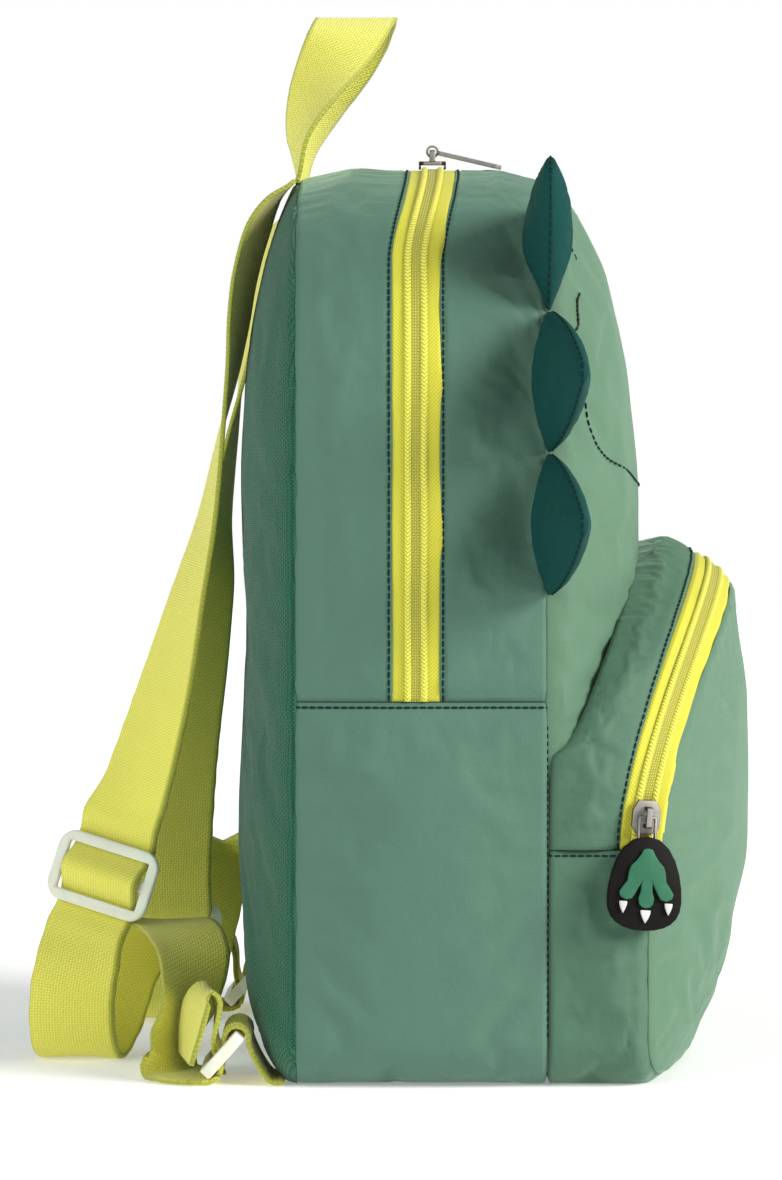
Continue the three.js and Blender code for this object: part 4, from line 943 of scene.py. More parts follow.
# Settling: how far from a seam the cloth is held, and where its movement is evened out
HELD_REACH = 2.5
HELD_FADE = 11
FLOOR_NEAR = 4
CALM_REACH = 80
CALM_RADIUS = 7
settling = Settling()

# Sewing: places in from an edge, and how sewn lines follow the cloth that they lie on
STITCH_INSET = 1.7
STITCH_DEPTH = 0.4
STITCH_PULL = 0.7
SEAM_DASH_INSET = 1.1
REAR_SPECKS_TOP = 38
LINE_STEP = 1.5
TACK_STEP = 0.6
LINE_LIFT = 0.3
LINE_EASE = 4
LINE_NEIGHBOURS = 6
LINE_SOFTENING = 0.3

# Stations of the meshes, closer together by the seams
EDGE_ROLLS = 1.6
EDGE_STEPS = 7
OVER_TOP_STATIONS = 301
UNDER_BOTTOM_STATIONS = 241


def seam_puckers(along, distance, height=0.5, reach=7, period=6.5):
    """Small gathers in cloth next to a sewn seam, at a distance from it."""
    gather = (RUFFLE(along / period, 0.5 + distance / 40)
              + 0.5 * RUFFLE(along / FINE_GATHER, 9.5 + distance / 30))
    return height * gather * np.exp(-distance / reach) * smoothstep(distance, 0, 1.5)


FOLD_LAYERS = (
    # strength, length along and across (millimetres), shift along and across
    (1, 46, 30, 0, 0),
    (0.45, 17, 16, 7, 3),
    (0.2, 7, 9, 3, 8),
)


def soft_folds(along, across, height):
    """Slack in a padded wall."""
    return height * sum(strength * SAG(along / length + shift, across / width + offset)
                        for strength, length, width, shift, offset in FOLD_LAYERS)


def outward_of(station):
    return np.concatenate([station.out_x, station.out_z * 0, station.out_z], 1)[:, None, :]


def spike_creases(station, y):
    """Small folds that fan out from the corners between the spikes."""
    along = spike_position(station.share) * SPIKE_BASE
    behind = y - FRONT_SEAM_Y
    row = len(SPIKE_LEANS) * SPIKE_BASE
    near = np.exp(-behind / CREASE_REACH) * smoothstep(behind, 0, 3)
    inside = smoothstep(along, -10, 5) * (1 - smoothstep(along, row - 5, row + 10))
    fan = along / CREASE_PERIOD * (1 + CREASE_SPREAD / (behind + CREASE_SPREAD))
    return CREASE_HEIGHT * near * inside * RUFFLE(fan, behind / (2 * CREASE_REACH) + 40)


def edge_of(distance, kind):
    """Relief of an edge: rolled into a seam, or folded back beside a zip and stitched down."""
    if kind == "seam":
        return -rolled(distance, SEAM_ROLL)
    return -rolled(distance, FOLD_ROLL) - sewn(distance, STITCH_INSET, STITCH_DEPTH)


def gusset(node, shares, front, rear, columns, edges):
    """A wall of the bag between two lines of Y, with its edges rolled or folded."""
    station = BAG_OUTLINE.station(shares).column()
    front_y, rear_y = front(station) + GAP / 2, rear(station) - GAP / 2
    y = lerp(front_y, rear_y, columns[None, :])
    along = station.share * BAG_OUTLINE.length
    from_front, from_rear = y - front_y, rear_y - y
    from_end = np.where(station.out_z < -0.9, BAG_DEPTH, np.abs(station.z - SIDE_SEAM_HEIGHT))
    slack = soft_folds(along, y, GUSSET_FOLDS) * smoothstep(from_rear, 0, 12)
    out = gusset_puff(station, y) + slack
    out = out - spike_dent(station, y) + spike_creases(station, y)
    out = out + seam_puckers(along, from_front) + seam_puckers(along + 31, from_rear)
    out = out + seam_puckers(y, from_end, 0.3) * (from_end < BAG_DEPTH)
    out = out + edge_of(from_front, edges[0]) + edge_of(from_rear, edges[1])
    out = out + edge_of(from_end, "fold")
    out = np.where(station.out_z < 0, np.minimum(out, SIDE_PUFF * station.sideways ** 2), out)
    cloth = Cloth(station.at(out, y), outward_of(station))
    piece = cloth.sheet(f"{node}_cloth", node, side_cloth, "side_fabric")
    settling.add(piece, pressure=0.6, slack=0.009, cap=2)
    return cloth


def near_edges(count, width):
    """Shares across a wall of a width, closer together at both seams."""
    roll = EDGE_ROLLS * SEAM_ROLL / width
    return spread((0, roll, EDGE_STEPS), (roll, 1 - roll, count), (1 - roll, 1, EDGE_STEPS))


def above(outline, height, count):
    """Shares of an outline over its top, down to a seam's height on both sides."""
    share = outline.share_at(height + GAP / 2)
    return np.linspace(share, 1 - share, count)


def below(outline, height, count):
    """Shares of an outline under its bottom, up to a seam's height on both sides."""
    share = outline.share_at(height - GAP / 2)
    return np.linspace(share, -share, count)


def front_seam(station):
    return FRONT_SEAM_Y + 0 * station.z


def rear_seam(station):
    return REAR_SEAM_Y + 0 * station.z


def zip_edge(side):
    return lambda station: zip_middle(station) + side * (ZIP_TAPE_WIDTH / 2)


over_top = above(BAG_OUTLINE, SIDE_SEAM_HEIGHT, OVER_TOP_STATIONS)
under_bottom = below(BAG_OUTLINE, SIDE_SEAM_HEIGHT, UNDER_BOTTOM_STATIONS)
rear_gusset = gusset("gusset_rear", over_top, zip_edge(1), rear_seam,
                     near_edges(14, 35), ("fold", "seam"))
front_gusset = gusset("gusset_front", over_top, front_seam, zip_edge(-1),
                      near_edges(20, 35), ("seam", "fold"))
lower_gusset = gusset("gusset_lower", under_bottom, front_seam, rear_seam,
                      near_edges(36, 84), ("seam", "seam"))

for name, cloth, edge in (("zip_rear", rear_gusset, "near"), ("zip_front", front_gusset, "far"),
                          ("side_left", lower_gusset, "first"),
                          ("side_right", lower_gusset, "last")):
    path, facing = cloth.beside(edge, STITCH_INSET)
    stitches(f"{name}_thread", path, facing, dark_thread, "side_fabric", ZIP_SEWING)


def seam_dashes(name, cloth, edge, low, high, material, sewing):
    """Short stitches that show in a seam's groove, between two heights on both sides."""
    path, facing = cloth.beside(edge, SEAM_DASH_INSET)
    for word, side in (("left", -1), ("right", 1)):
        shown = (path[:, 0] * side > 0) & (path[:, 2] > low) & (path[:, 2] < high)
        stitches(f"{name}_{word}", path[shown], facing[shown], material, "side_fabric", sewing)


for name, cloth, low, high in (("low_seam", lower_gusset, FOOT_RADIUS, SIDE_SEAM_HEIGHT - 2),
                               ("high_seam", front_gusset, SIDE_SEAM_HEIGHT + 2, SPIKE_START)):
    seam_dashes(f"{name}_dashes", cloth, "near", low, high, dark_thread, SEAM_SEWING)
    seam_dashes(f"{name}_specks", cloth, "near", low, high, lime_thread, SEAM_SPECKS)
seam_dashes("rear_specks", lower_gusset, "far", FOOT_RADIUS, REAR_SPECKS_TOP, lime_thread,
            REAR_SPECKS)


# Crowned panels

PANEL_STATIONS = 300
SAME_PLACE = 0.001


def panel(node, outline, middle_height, edge, face, material, slot, rings, facing, slack=0.015):
    """A crowned panel whose rings run from its edge to its middle."""
    station = outline.station(np.linspace(0, 1, PANEL_STATIONS, endpoint=False)).column()
    rim = edge(station)
    out = rings[None, :]
    x, z = rim[..., 0] * out, lerp(middle_height, rim[..., 2], out)
    y = face(station, rim, out)
    points = np.stack(np.broadcast_arrays(x, y, z), -1)
    reach = np.hypot(rim[..., 0], rim[..., 2] - middle_height)
    distance = reach * (1 - out)
    along = station.share * outline.length
    normal = Cloth(points, np.array([0, facing, 0.0])).normals
    drop = rolled(distance, SEAM_ROLL)
    points = points - np.array([0, facing, 0]) * (drop * 0.6)[..., None]
    swell = seam_puckers(along, distance, 0.6, 9)
    swell = swell + soft_folds(x, z, 0.5) * smoothstep(distance, 0, 25)
    points = points + normal * swell[..., None]
    rows = np.concatenate([points, points[:1]])
    plane = np.stack([rows[..., 0], rows[..., 2]], -1)
    if facing < 0:
        rows, plane = rows[:, ::-1], plane[:, ::-1]
    name = f"{node}_cloth"
    mesh = grid_mesh(name, rows, plane)
    with reshaped(mesh) as shape:
        bmesh.ops.remove_doubles(shape, verts=shape.verts, dist=SAME_PLACE * MM)
        bmesh.ops.recalc_face_normals(shape, faces=shape.faces)
    piece = new_piece(name, mesh, material, slot)
    walled(piece, CLOTH_WALL)
    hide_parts(node)
    settling.add(piece, pressure=0.3, slack=slack, cap=2.5, middle=middle_height)
    return piece


def back_face(station, rim, out):
    fullness = 3 + 5 * np.maximum(-station.out_z, 0) + station.sideways
    crown = BACK_CROWN - SETTLE_ROOM
    return REAR_SEAM_Y + GAP / 2 + crown * np.maximum(1 - out ** fullness, 0) ** 0.8


PANEL_RINGS = 1 - spread((0, 0.03, 6), (0.03, 0.3, 18), (0.3, 1, 24))
panel("back_panel", BAG_OUTLINE, PANEL_MIDDLE_HEIGHT, lambda s: s.at(0, 0), back_face, back_cloth,
      "back_fabric", PANEL_RINGS, 1, slack=0.005)

POCKET_COVER = POCKET_WALL + GAP
POCKET_BLEND = 30
POCKET_FOLDS = 1.1
POCKET_ARCH_STATIONS = 241
POCKET_FOOT_STATIONS = 181


def front_inset(station):
    return POCKET_COVER * (1 - smoothstep(station.z, POCKET_SPRING, POCKET_SPRING + POCKET_BLEND))


def front_depth(out):
    return (FRONT_CROWN - SETTLE_ROOM) * np.sqrt(np.maximum(1 - out ** 2, 0))


def front_face(station, rim, out):
    return FRONT_SEAM_Y - GAP / 2 - front_depth(out)


FRONT_RINGS = np.sin(spread((math.pi / 2, math.pi / 2 - 0.2, 8), (math.pi / 2 - 0.2, 0, 40)))
front = panel("front_panel", BAG_OUTLINE, PANEL_MIDDLE_HEIGHT,
              lambda s: s.at(-front_inset(s), 0), front_face, lit_front_cloth, "front_fabric",
              FRONT_RINGS, -1)


class PanelEdge:
    """Share of the way from the front panel's middle to its edge, at any place."""

    def __init__(self):
        station = BAG_OUTLINE.station(np.linspace(0, 1, 721)[:-1])
        edge = station.at(-front_inset(station), 0)
        turn = np.arctan2(edge[:, 0], edge[:, 2] - PANEL_MIDDLE_HEIGHT)
        reach = np.hypot(edge[:, 0], edge[:, 2] - PANEL_MIDDLE_HEIGHT)
        order = np.argsort(turn)
        self.turn, self.reach = turn[order], reach[order]

    def face_y(self, x, z):
        up = z - PANEL_MIDDLE_HEIGHT
        reach = np.interp(np.arctan2(x, up), self.turn, self.reach, period=2 * math.pi)
        return FRONT_SEAM_Y - GAP / 2 - front_depth(np.minimum(np.hypot(x, up) / reach, 1))


FRONT_EDGE = PanelEdge()


# Front pocket

def pocket_attach_y(station, stand_out):
    x, z = station.x + station.out_x * stand_out, station.z + station.out_z * stand_out
    return np.minimum(FRONT_EDGE.face_y(x, z) - GAP, FRONT_SEAM_Y - GAP / 2)


over_arch = above(POCKET_OUTLINE, POCKET_SEAM_HEIGHT, POCKET_ARCH_STATIONS)
pocket_arch = POCKET_OUTLINE.station(over_arch).column()


def pocket_upper():
    station = pocket_arch
    across = near_edges(14, 26)[None, :]
    front_y = pocket_zip_inner_y(station) + GAP / 2
    stand_out = POCKET_PUFF * np.sin(math.pi * across) - POCKET_WALL * across ** 3
    y = lerp(pocket_attach_y(station, stand_out), front_y, across)
    along = station.share * POCKET_OUTLINE.length
    width = np.abs(y[:, -1:] - y[:, :1])
    from_seam, from_zip = across * width, (1 - across) * width
    slack = smoothstep(from_seam, 0, 8) * smoothstep(from_zip, 0, 6)
    diagonal = along * 0.8 + y * 0.9
    folds = POCKET_FOLDS * SAG(diagonal / 13, (along - y) / 60 + 5) * slack
    end = np.abs(station.z - POCKET_SEAM_HEIGHT)
    out = stand_out + folds
    out = out + seam_puckers(along, from_zip, 0.4) + seam_puckers(along, from_seam, 0.6)
    out = out + edge_of(from_seam, "seam") + edge_of(from_zip, "fold") + edge_of(end, "fold")
    cloth = Cloth(station.at(out, y), outward_of(station))
    piece = cloth.sheet("pocket_gusset_upper_cloth", "pocket_gusset_upper", shaded_pocket_cloth,
                        "front_fabric")
    settling.add(piece, pressure=0.2, slack=0.04, cap=2.5)
    path, facing = cloth.beside("far", STITCH_INSET)
    stitches("pocket_zip_thread", path, facing, dark_thread, "front_fabric", POCKET_SEWING)


pocket_upper()


def pocket_lower():
    under_arch = below(POCKET_OUTLINE, POCKET_SEAM_HEIGHT, POCKET_FOOT_STATIONS)
    station = POCKET_OUTLINE.station(under_arch).column()
    inset, rim_y = pocket_rim(station)
    across = near_edges(20, 34)[None, :]
    y = lerp(FRONT_SEAM_Y - GAP / 2, rim_y + GAP, across)
    turn_in = smoothstep(across, 0.8, 1) ** 2 * inset
    along = station.share * POCKET_OUTLINE.length
    width = np.abs(rim_y - FRONT_SEAM_Y)
    from_seam, from_rim = across * width, (1 - across) * width
    end = np.where(station.out_z < -0.9, BAG_DEPTH, np.abs(station.z - POCKET_SEAM_HEIGHT))
    out = -turn_in + seam_puckers(along, from_rim, 1.0, 8, 5) + seam_puckers(along, from_seam, 0.5)
    slack = smoothstep(from_rim, 0, 10) * smoothstep(from_seam, 0, 8)
    out = out + soft_folds(along, y, 0.5) * slack
    out = out + edge_of(from_seam, "seam") + edge_of(from_rim, "seam") + edge_of(end, "fold")
    out = np.where(station.out_z < 0, np.minimum(out, 0), out)
    cloth = Cloth(station.at(out, y), outward_of(station))
    piece = cloth.sheet("pocket_gusset_lower_cloth", "pocket_gusset_lower", shaded_pocket_cloth,
                        "front_fabric")
    settling.add(piece, pressure=0.4, slack=0.03, cap=2.5)
    for word, edge in (("left", "first"), ("right", "last")):
        path, facing = cloth.beside(edge, STITCH_INSET)
        stitches(f"pocket_side_{word}_thread", path, facing, dark_thread, "front_fabric",
                 POCKET_SEWING)


pocket_lower()


def pocket_edge(station):
    inset, y = pocket_rim(station)
    return station.at(-inset - GAP, y - GAP)


def pocket_face(station, rim, out):
    return lerp(rim[..., 1], POCKET_FRONT_Y + SETTLE_ROOM, 1 - out ** 2)


panel("pocket_panel", POCKET_OUTLINE, POCKET_MIDDLE_HEIGHT, pocket_edge, pocket_face, lit_front_cloth,
      "front_fabric", FRONT_RINGS, -1)


# Webbing

WEAVE_LIFT = STRAP_SLIDER_THICKNESS + GAP * 2.5
WEAVE_PERIOD = (STRAP_SLIDER_LENGTH - STRAP_SLIDER_BAR) / 2
LAYER_STEP = WEBBING_THICKNESS + 2 * GAP
CURL_HEIGHT = 0.25
CURL_LENGTH = 23
SCALLOP_HEIGHT = 0.12
SCALLOP_LENGTH = 1.9
EDGE_WAVES = Noise(11)


def squared(along, width):
    return unit(width - along * np.sum(width * along, -1, keepdims=True))


class Webbing:
    """Route of a strip of webbing through stops: points, and the directions of its width."""

    STEPS = 60

    def __init__(self, stops):
        points = np.array([stop[0] for stop in stops])
        widths = np.array([stop[1] for stop in stops])
        ends = np.concatenate([[2 * points[0] - points[1]], points, [2 * points[-1] - points[-2]]])
        t = np.linspace(0, 1, self.STEPS, endpoint=False)[:, None]
        line, lean = [], []
        for i in range(len(points) - 1):
            line.append(self.span(t, *ends[i:i + 4]))
            lean.append(lerp(widths[i], widths[i + 1], t))
        self.points = np.concatenate([*line, points[-1:]])
        self.widths = smoothed(np.concatenate([*lean, widths[-1:]]), self.STEPS // 2)
        self.alongs = unit(np.gradient(self.points, axis=0))
        self.distance = distances_along(self.points)
        self.length = self.distance[-1]

    @staticmethod
    def span(t, p0, p1, p2, p3):
        """A centripetal Catmull-Rom curve from p1 to p2."""
        d0, d1, d2 = (np.linalg.norm(b - a) ** 0.5 for a, b in ((p0, p1), (p1, p2), (p2, p3)))
        start = d1 * ((p1 - p0) / d0 - (p2 - p0) / (d0 + d1)) + p2 - p1
        end = p2 - p1 - d1 * ((p3 - p1) / (d1 + d2) - (p3 - p2) / d2)
        return (p1 + start * t + (3 * (p2 - p1) - 2 * start - end) * t ** 2
                + (2 * (p1 - p2) + start + end) * t ** 3)

    def distance_to(self, stop):
        return self.distance[stop * self.STEPS]

    def frames(self, distances):
        point, along, width = (read_along(distances, self.distance, rows)
                               for rows in (self.points, self.alongs, self.widths))
        along = unit(along)
        return point, along, squared(along, width)

    def frames_through(self, distances, at, reach):
        """Frames that run straight and flat through a slider."""
        point, along, width = self.frames(distances)
        flat_point, flat_along, flat_width = self.frames(np.array([at]))
        off = (distances - at)[:, None]
        hold = 1 - smoothstep(np.abs(off), reach, reach * 2)
        point = lerp(point, flat_point + flat_along * off, hold)
        along = unit(lerp(along, flat_along, hold))
        return point, along, squared(along, lerp(width, flat_width, hold))


def webbing_section():
    """Places round the strip's section: across its width and through its thickness."""
    half, thick = WEBBING_WIDTH / 2, WEBBING_THICKNESS / 2
    turn = np.linspace(0, math.pi / 2, 4)[:-1]
    round_off = np.stack([half - thick + thick * np.sin(turn), thick * np.cos(turn)], 1)
    flat = np.linspace(-half + thick, half - thick, 15)[:-1]
    face = np.stack([flat, np.full(len(flat), thick)], 1)
    upper = np.concatenate([face, round_off])
    return np.concatenate([upper, -upper])


def webbing_strip(name, node, frames, step, raised=0.0, layer=0, seed=0.0):
    """A woven strip through frames. Where it would sink, it lies on the floor or a lower layer."""
    point, along, width = frames
    face = np.cross(width, along)
    across, level = webbing_section().T
    middle = point + face * np.reshape(raised, (-1, 1))
    distance = np.arange(len(point)) * step
    side = np.sign(across)[None, :]
    cup = EDGE_WAVES(distance[:, None] / CURL_LENGTH + seed, side * 3.5 + 20)
    curl = CURL_HEIGHT * cup * (np.abs(across)[None, :] / (WEBBING_WIDTH / 2)) ** 3
    scallop = SCALLOP_HEIGHT * np.sin(distance * 2 * math.pi / SCALLOP_LENGTH)[:, None] * side
    scallop = scallop * smoothstep(np.abs(across), WEBBING_WIDTH / 2 - 1, WEBBING_WIDTH / 2)
    points = (middle[:, None] + width[:, None] * (across + scallop)[..., None]
              + face[:, None] * (level + curl)[..., None])
    over = level[None, :] * face[:, 2:] > 0
    resting = GAP + layer * LAYER_STEP + WEBBING_THICKNESS * over
    points[..., 2] = np.maximum(points[..., 2], resting)
    around = np.append(distances_along(np.stack([across, level], 1)), 2 * WEBBING_WIDTH)
    uv = np.stack(np.meshgrid(distance, around, indexing="ij"), -1)
    cap_uv = np.stack([np.zeros(2 * len(across)), np.tile(across, 2)], 1)
    piece = new_piece(name, ring_mesh(name, points, uv, cap_uv), lime_webbing, "webbing")
    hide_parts(node)


def width_turned(turn, bank=0.0):
    turn, bank = math.radians(turn), math.radians(bank)
    return np.array([math.cos(turn) * math.cos(bank), math.sin(turn),
                     math.cos(turn) * math.sin(bank)])


WEBBING_STEP = 1.6


def steps_along(length):
    return np.linspace(0, length, int(length / WEBBING_STEP) + 1)


def outline_height(x):
    """Height of the bag's outline at a distance from its middle."""
    arch = (1 - (x / BAG_HALF_WIDTH) ** BAG_ROUNDNESS) ** (1 / BAG_ROUNDNESS)
    return BAG_SHOULDER + (BAG_HEIGHT - BAG_SHOULDER) * arch


HANDLE_FOOT_Z = outline_height(HANDLE_SPAN / 2) + WEBBING_THICKNESS / 2 + GAP
HANDLE_STOPS = (
    # across, rise, forward (shares), turn (degrees)
    (-1, 0, 0, 0),
    (-1.03, 0.22, 0.02, 12),
    (-0.86, 0.55, 0.35, 45),
    (-0.58, 0.88, 0.85, 80),
    (0, 1, 1, 90),
    (0.58, 0.88, 0.85, 100),
    (0.86, 0.55, 0.35, 135),
    (1.03, 0.22, 0.02, 168),
    (1, 0, 0, 180),
)


def carry_handle():
    stops = [(np.array([across * HANDLE_SPAN / 2, REAR_SEAM_Y - forward * HANDLE_FORWARD,
                        HANDLE_FOOT_Z + rise * HANDLE_RISE]), width_turned(turn))
             for across, rise, forward, turn in HANDLE_STOPS]
    first, last = ((point - (0, 0, HANDLE_SEWN_IN), width) for point, width in
                   (stops[0], stops[-1]))
    route = Webbing([first, *stops, last])
    webbing_strip("handle_webbing", "carry_handle", route.frames(steps_along(route.length)),
                  WEBBING_STEP, seed=3.3)


carry_handle()

ANCHOR_Z = outline_height(STRAP_SPACING) + WEBBING_THICKNESS / 2 + 2 * GAP
RING_MIDDLE_OFFSET = (RING_LENGTH - RING_BAR) / 2
BAR_REACH = RING_BAR * math.sqrt(0.5) + GAP * 2
FLOOR_Z = GAP + WEBBING_THICKNESS / 2
RING_LOW_Z = FLOOR_Z + WEBBING_THICKNESS / 2 + BAR_REACH
RING_ALONG = np.array([0, math.cos(RING_TILT), -math.sin(RING_TILT)])
RING_WRAP = BAR_REACH + WEBBING_THICKNESS / 2

# Places round the ring's bars that the webbing passes, in degrees up from behind
STRAP_END_ANGLES = (-90, -140)
RETURN_ANGLES = (210, 175, 145)
TAB_ANGLES = range(200, -71, -30)

UPPER_ROUTE = (
    # rise, reach (shares), turn, bank (degrees)
    (1, 0.015, -6, 12),
    (0.979, 0.105, -10, 8),
    (0.945, 0.18, -14, 0),
    (0.892, 0.24, -14, 0),
    (0.843, 0.27, -12, 0),
    (0.785, 0.3, -5, 0),
    (0.718, 0.347, 4, 0),
    (0.617, 0.416, 14, 0),
)
LEFT_UPPER = UPPER_ROUTE + (
    (0.525, 0.509, 26, 0),
    (0.423, 0.611, 42, 0),
    (0.308, 0.749, 56, 0),
    (0.212, 0.897, 70, 0),
)
RIGHT_UPPER = UPPER_ROUTE + (
    (0.54, 0.47, 40, 0),
    (0.44, 0.53, 52, 0),
    (0.34, 0.59, 60, 0),
    (0.24, 0.63, 66, 0),
    (0.108, 0.66, 70, 0),
)
LEFT_LOOPS = (
    # swing, reach, lift (shares), turn (degrees)
    (1.14, 1.03, 0.5, 84),
    (1.08, 1.03, 0.12, 88),
    (0.88, 1, 0.01, 90),
    (0.66, 0.93, 0.2, 86),
    (0.62, 0.82, 0.68, 80),
    (0.74, 0.68, 0.9, 88),
    (1.02, 0.55, 0.92, 108),
    (1.32, 0.48, 0.76, 130),
    (1.52, 0.49, 0.48, 146),
    (1.66, 0.55, 0.17, 154),
    (1.78, 0.525, 0.012, 164),
    (1.95, 0.47, 0, 174),
)
RIGHT_LOOPS = (
    (1.08, 0.68, 0.08, 84),
    (1.25, 0.67, 0.02, 86),
    (1.45, 0.62, 0.18, 80),
    (1.52, 0.54, 0.6, 68),
    (1.58, 0.46, 1.04, 56),
    (1.68, 0.42, 1.28, 42),
    (1.8, 0.44, 1.12, 28),
    (1.9, 0.49, 0.7, 14),
    (1.96, 0.53, 0.24, 4),
)
LEFT_ARCH = (
    # reach, lift (shares), turn (degrees)
    (0.353, 0.26, 0),
    (0.342, 0.44, 4),
    (0.352, 0.55, 10),
    (0.385, 0.58, 15),
    (0.43, 0.5, 19),
    (0.464, 0.3, 16),
    (0.484, 0.12, 10),
)
RIGHT_ARCH = (
    (0.353, 0.26, 0),
    (0.36, 0.42, 0),
    (0.385, 0.52, 0),
    (0.42, 0.48, 0),
)


def shoulder_strap(word, side, upper, loops, ring_turn, arch):
    """One strap with the second layer at its ring and the tab that holds the ring."""

    def stop(x, y, z, turn, bank=0.0):
        point, width = np.array([-x, y, z]), width_turned(turn, bank)
        if side > 0:
            point, width = point * (-1, 1, 1), width * (1, -1, -1)
        return point, width

    def loop_stop(swing, reach, lift, turn):
        return stop(swing * STRAP_SPACING, REAR_SEAM_Y + reach * STRAP_REACH,
                    FLOOR_Z + lift * STRAP_LOOP_RISE, turn)

    def beside(bar, angle, turn=0):
        angle = math.radians(angle)
        return stop(TAB_SPACING, bar[1] + RING_WRAP * math.cos(angle),
                    bar[2] + RING_WRAP * math.sin(angle), turn)

    middle = np.array([side * TAB_SPACING, RING_Y,
                       RING_LOW_Z + RING_MIDDLE_OFFSET * math.sin(RING_TILT)])
    low_bar = middle + RING_ALONG * RING_MIDDLE_OFFSET
    high_bar = middle - RING_ALONG * RING_MIDDLE_OFFSET

    upper_stops = [stop(STRAP_SPACING, REAR_SEAM_Y + reach * STRAP_REACH, rise * ANCHOR_Z, turn,
                        bank) for rise, reach, turn, bank in upper]
    loop_stops = [loop_stop(*row) for row in loops]
    last = [stop(TAB_SPACING, low_bar[1] + RING_WRAP, FLOOR_Z, ring_turn),
            *(beside(low_bar, angle, ring_turn) for angle in STRAP_END_ANGLES)]
    main = Webbing(upper_stops + loop_stops + last)
    slider_at = main.distance_to(len(upper) - 1)
    distances = steps_along(main.length)
    off = np.abs(distances - slider_at)
    raised = np.where(off < WEAVE_PERIOD, WEAVE_LIFT * np.cos(math.pi * off / WEAVE_PERIOD),
                      -WEAVE_LIFT * (1 - smoothstep(off, WEAVE_PERIOD, WEAVE_PERIOD * 2)))
    flat_reach = STRAP_SLIDER_LENGTH / 2 + STRAP_SLIDER_BAR
    webbing_strip(f"strap_{word}_webbing", f"shoulder_strap_{word}",
                  main.frames_through(distances, slider_at, flat_reach), WEBBING_STEP, raised,
                  seed=7.7 * side)

    arch_stops = [loop_stop(TAB_SPACING / STRAP_SPACING, *row) for row in arch]
    back = Webbing([beside(low_bar, angle) for angle in RETURN_ANGLES] + arch_stops)
    webbing_strip(f"return_{word}_webbing", f"strap_return_{word}",
                  back.frames(steps_along(back.length)), WEBBING_STEP, layer=1, seed=5.1 * side)

    tab_stops = [stop(TAB_SPACING, REAR_SEAM_Y + TAB_ROOT * reach, FLOOR_Z, 0)
                 for reach in (1, 2.4)]
    tab = Webbing(tab_stops + [beside(high_bar, angle) for angle in TAB_ANGLES])
    webbing_strip(f"tab_{word}_webbing", f"strap_tab_{word}", tab.frames(steps_along(tab.length)),
                  WEBBING_STEP, seed=2.9 * side)


shoulder_strap("left", -1, LEFT_UPPER, LEFT_LOOPS, 180, LEFT_ARCH)
shoulder_strap("right", 1, RIGHT_UPPER, RIGHT_LOOPS, 0, RIGHT_ARCH)


# Moulded and metal pieces

WELD_REACH = 0.005
FLAT_LIMIT = math.radians(2)
EDGE_LIMIT = math.radians(30)
EDGE_SEGMENTS = 3


def softened(node, radius, material, slot, body):
    """A CAD node with its edges rounded off."""
    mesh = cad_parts[node].data.copy()
    with reshaped(mesh) as shape:
        bmesh.ops.remove_doubles(shape, verts=shape.verts, dist=WELD_REACH * MM)
        bmesh.ops.dissolve_limit(shape, angle_limit=FLAT_LIMIT, verts=shape.verts,
                                 edges=shape.edges)
    mesh.name = f"{node}_shape"
    piece = new_piece(f"{node}_finished", mesh, material, slot, body)
    bevel = piece.modifiers.new("rounded", "BEVEL")
    bevel.width = radius * MM
    bevel.segments = EDGE_SEGMENTS
    bevel.limit_method = "ANGLE"
    bevel.angle_limit = EDGE_LIMIT
    bevel.use_clamp_overlap = True
    mesh.shade_smooth()
    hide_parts(node)


HARD_PIECES = (
    # nodes, edge radius, material, slot, body
    (("strap_slider_left", "strap_slider_right"), 1.0, milky_plastic, "milky_plastic", BAG),
    (("strap_ring_left", "strap_ring_right"), 1.4, milky_plastic, "milky_plastic", BAG),
    (("main_slider", "pocket_slider"), 0.35, metal, "metal", BAG),
    (("main_pull_tab",), 0.4, metal, "metal", MAIN_PULL),
    (("pocket_pull_bail",), 0.4, metal, "metal", POCKET_PULL),
    (("charm_base",), 0.7, black_rubber, "charm_black", POCKET_PULL),
    (("charm_paw",), 0.35, green_rubber, "charm_green", POCKET_PULL),
    (("charm_claw_1", "charm_claw_2", "charm_claw_3"), 0.3, white_rubber, "charm_white",
     POCKET_PULL),
)
for nodes, *finish in HARD_PIECES:
    for node in nodes:
        softened(node, *finish)


# Spikes

SPIKE_PROFILE = (
    # height, length, thickness (shares)
    (0, 1, 0.5),
    (0.15, 0.96, 0.92),
    (0.4, 0.82, 0.95),
    (0.7, 0.55, 0.72),
    (1, 0.14, 0.24),
)
SPIKE_RINGS = 27
SPIKE_SIDES = 64
WRINKLE_SHARE = 0.16
WRINKLE_PERIOD = 3.5
WRINKLE_REACH = 0.35
SPIKE_WRINKLES = Noise(17)


def eased_profile(heights):
    """Length and thickness of a spike at heights, on smooth curves through its profile."""
    profile = np.array(SPIKE_PROFILE)
    slope = np.gradient(profile[:, 1:], profile[:, 0], axis=0)
    i = np.clip(np.searchsorted(profile[:, 0], heights, "right") - 1, 0, len(profile) - 2)
    width = (profile[i + 1, 0] - profile[i, 0])[:, None]
    t = ((heights - profile[i, 0])[:, None]) / width
    a, b = profile[i, 1:], profile[i + 1, 1:]
    low, high = slope[i] * width, slope[i + 1] * width
    return (a + low * t + (3 * (b - a) - 2 * low - high) * t ** 2
            + (2 * (a - b) + low + high) * t ** 3)


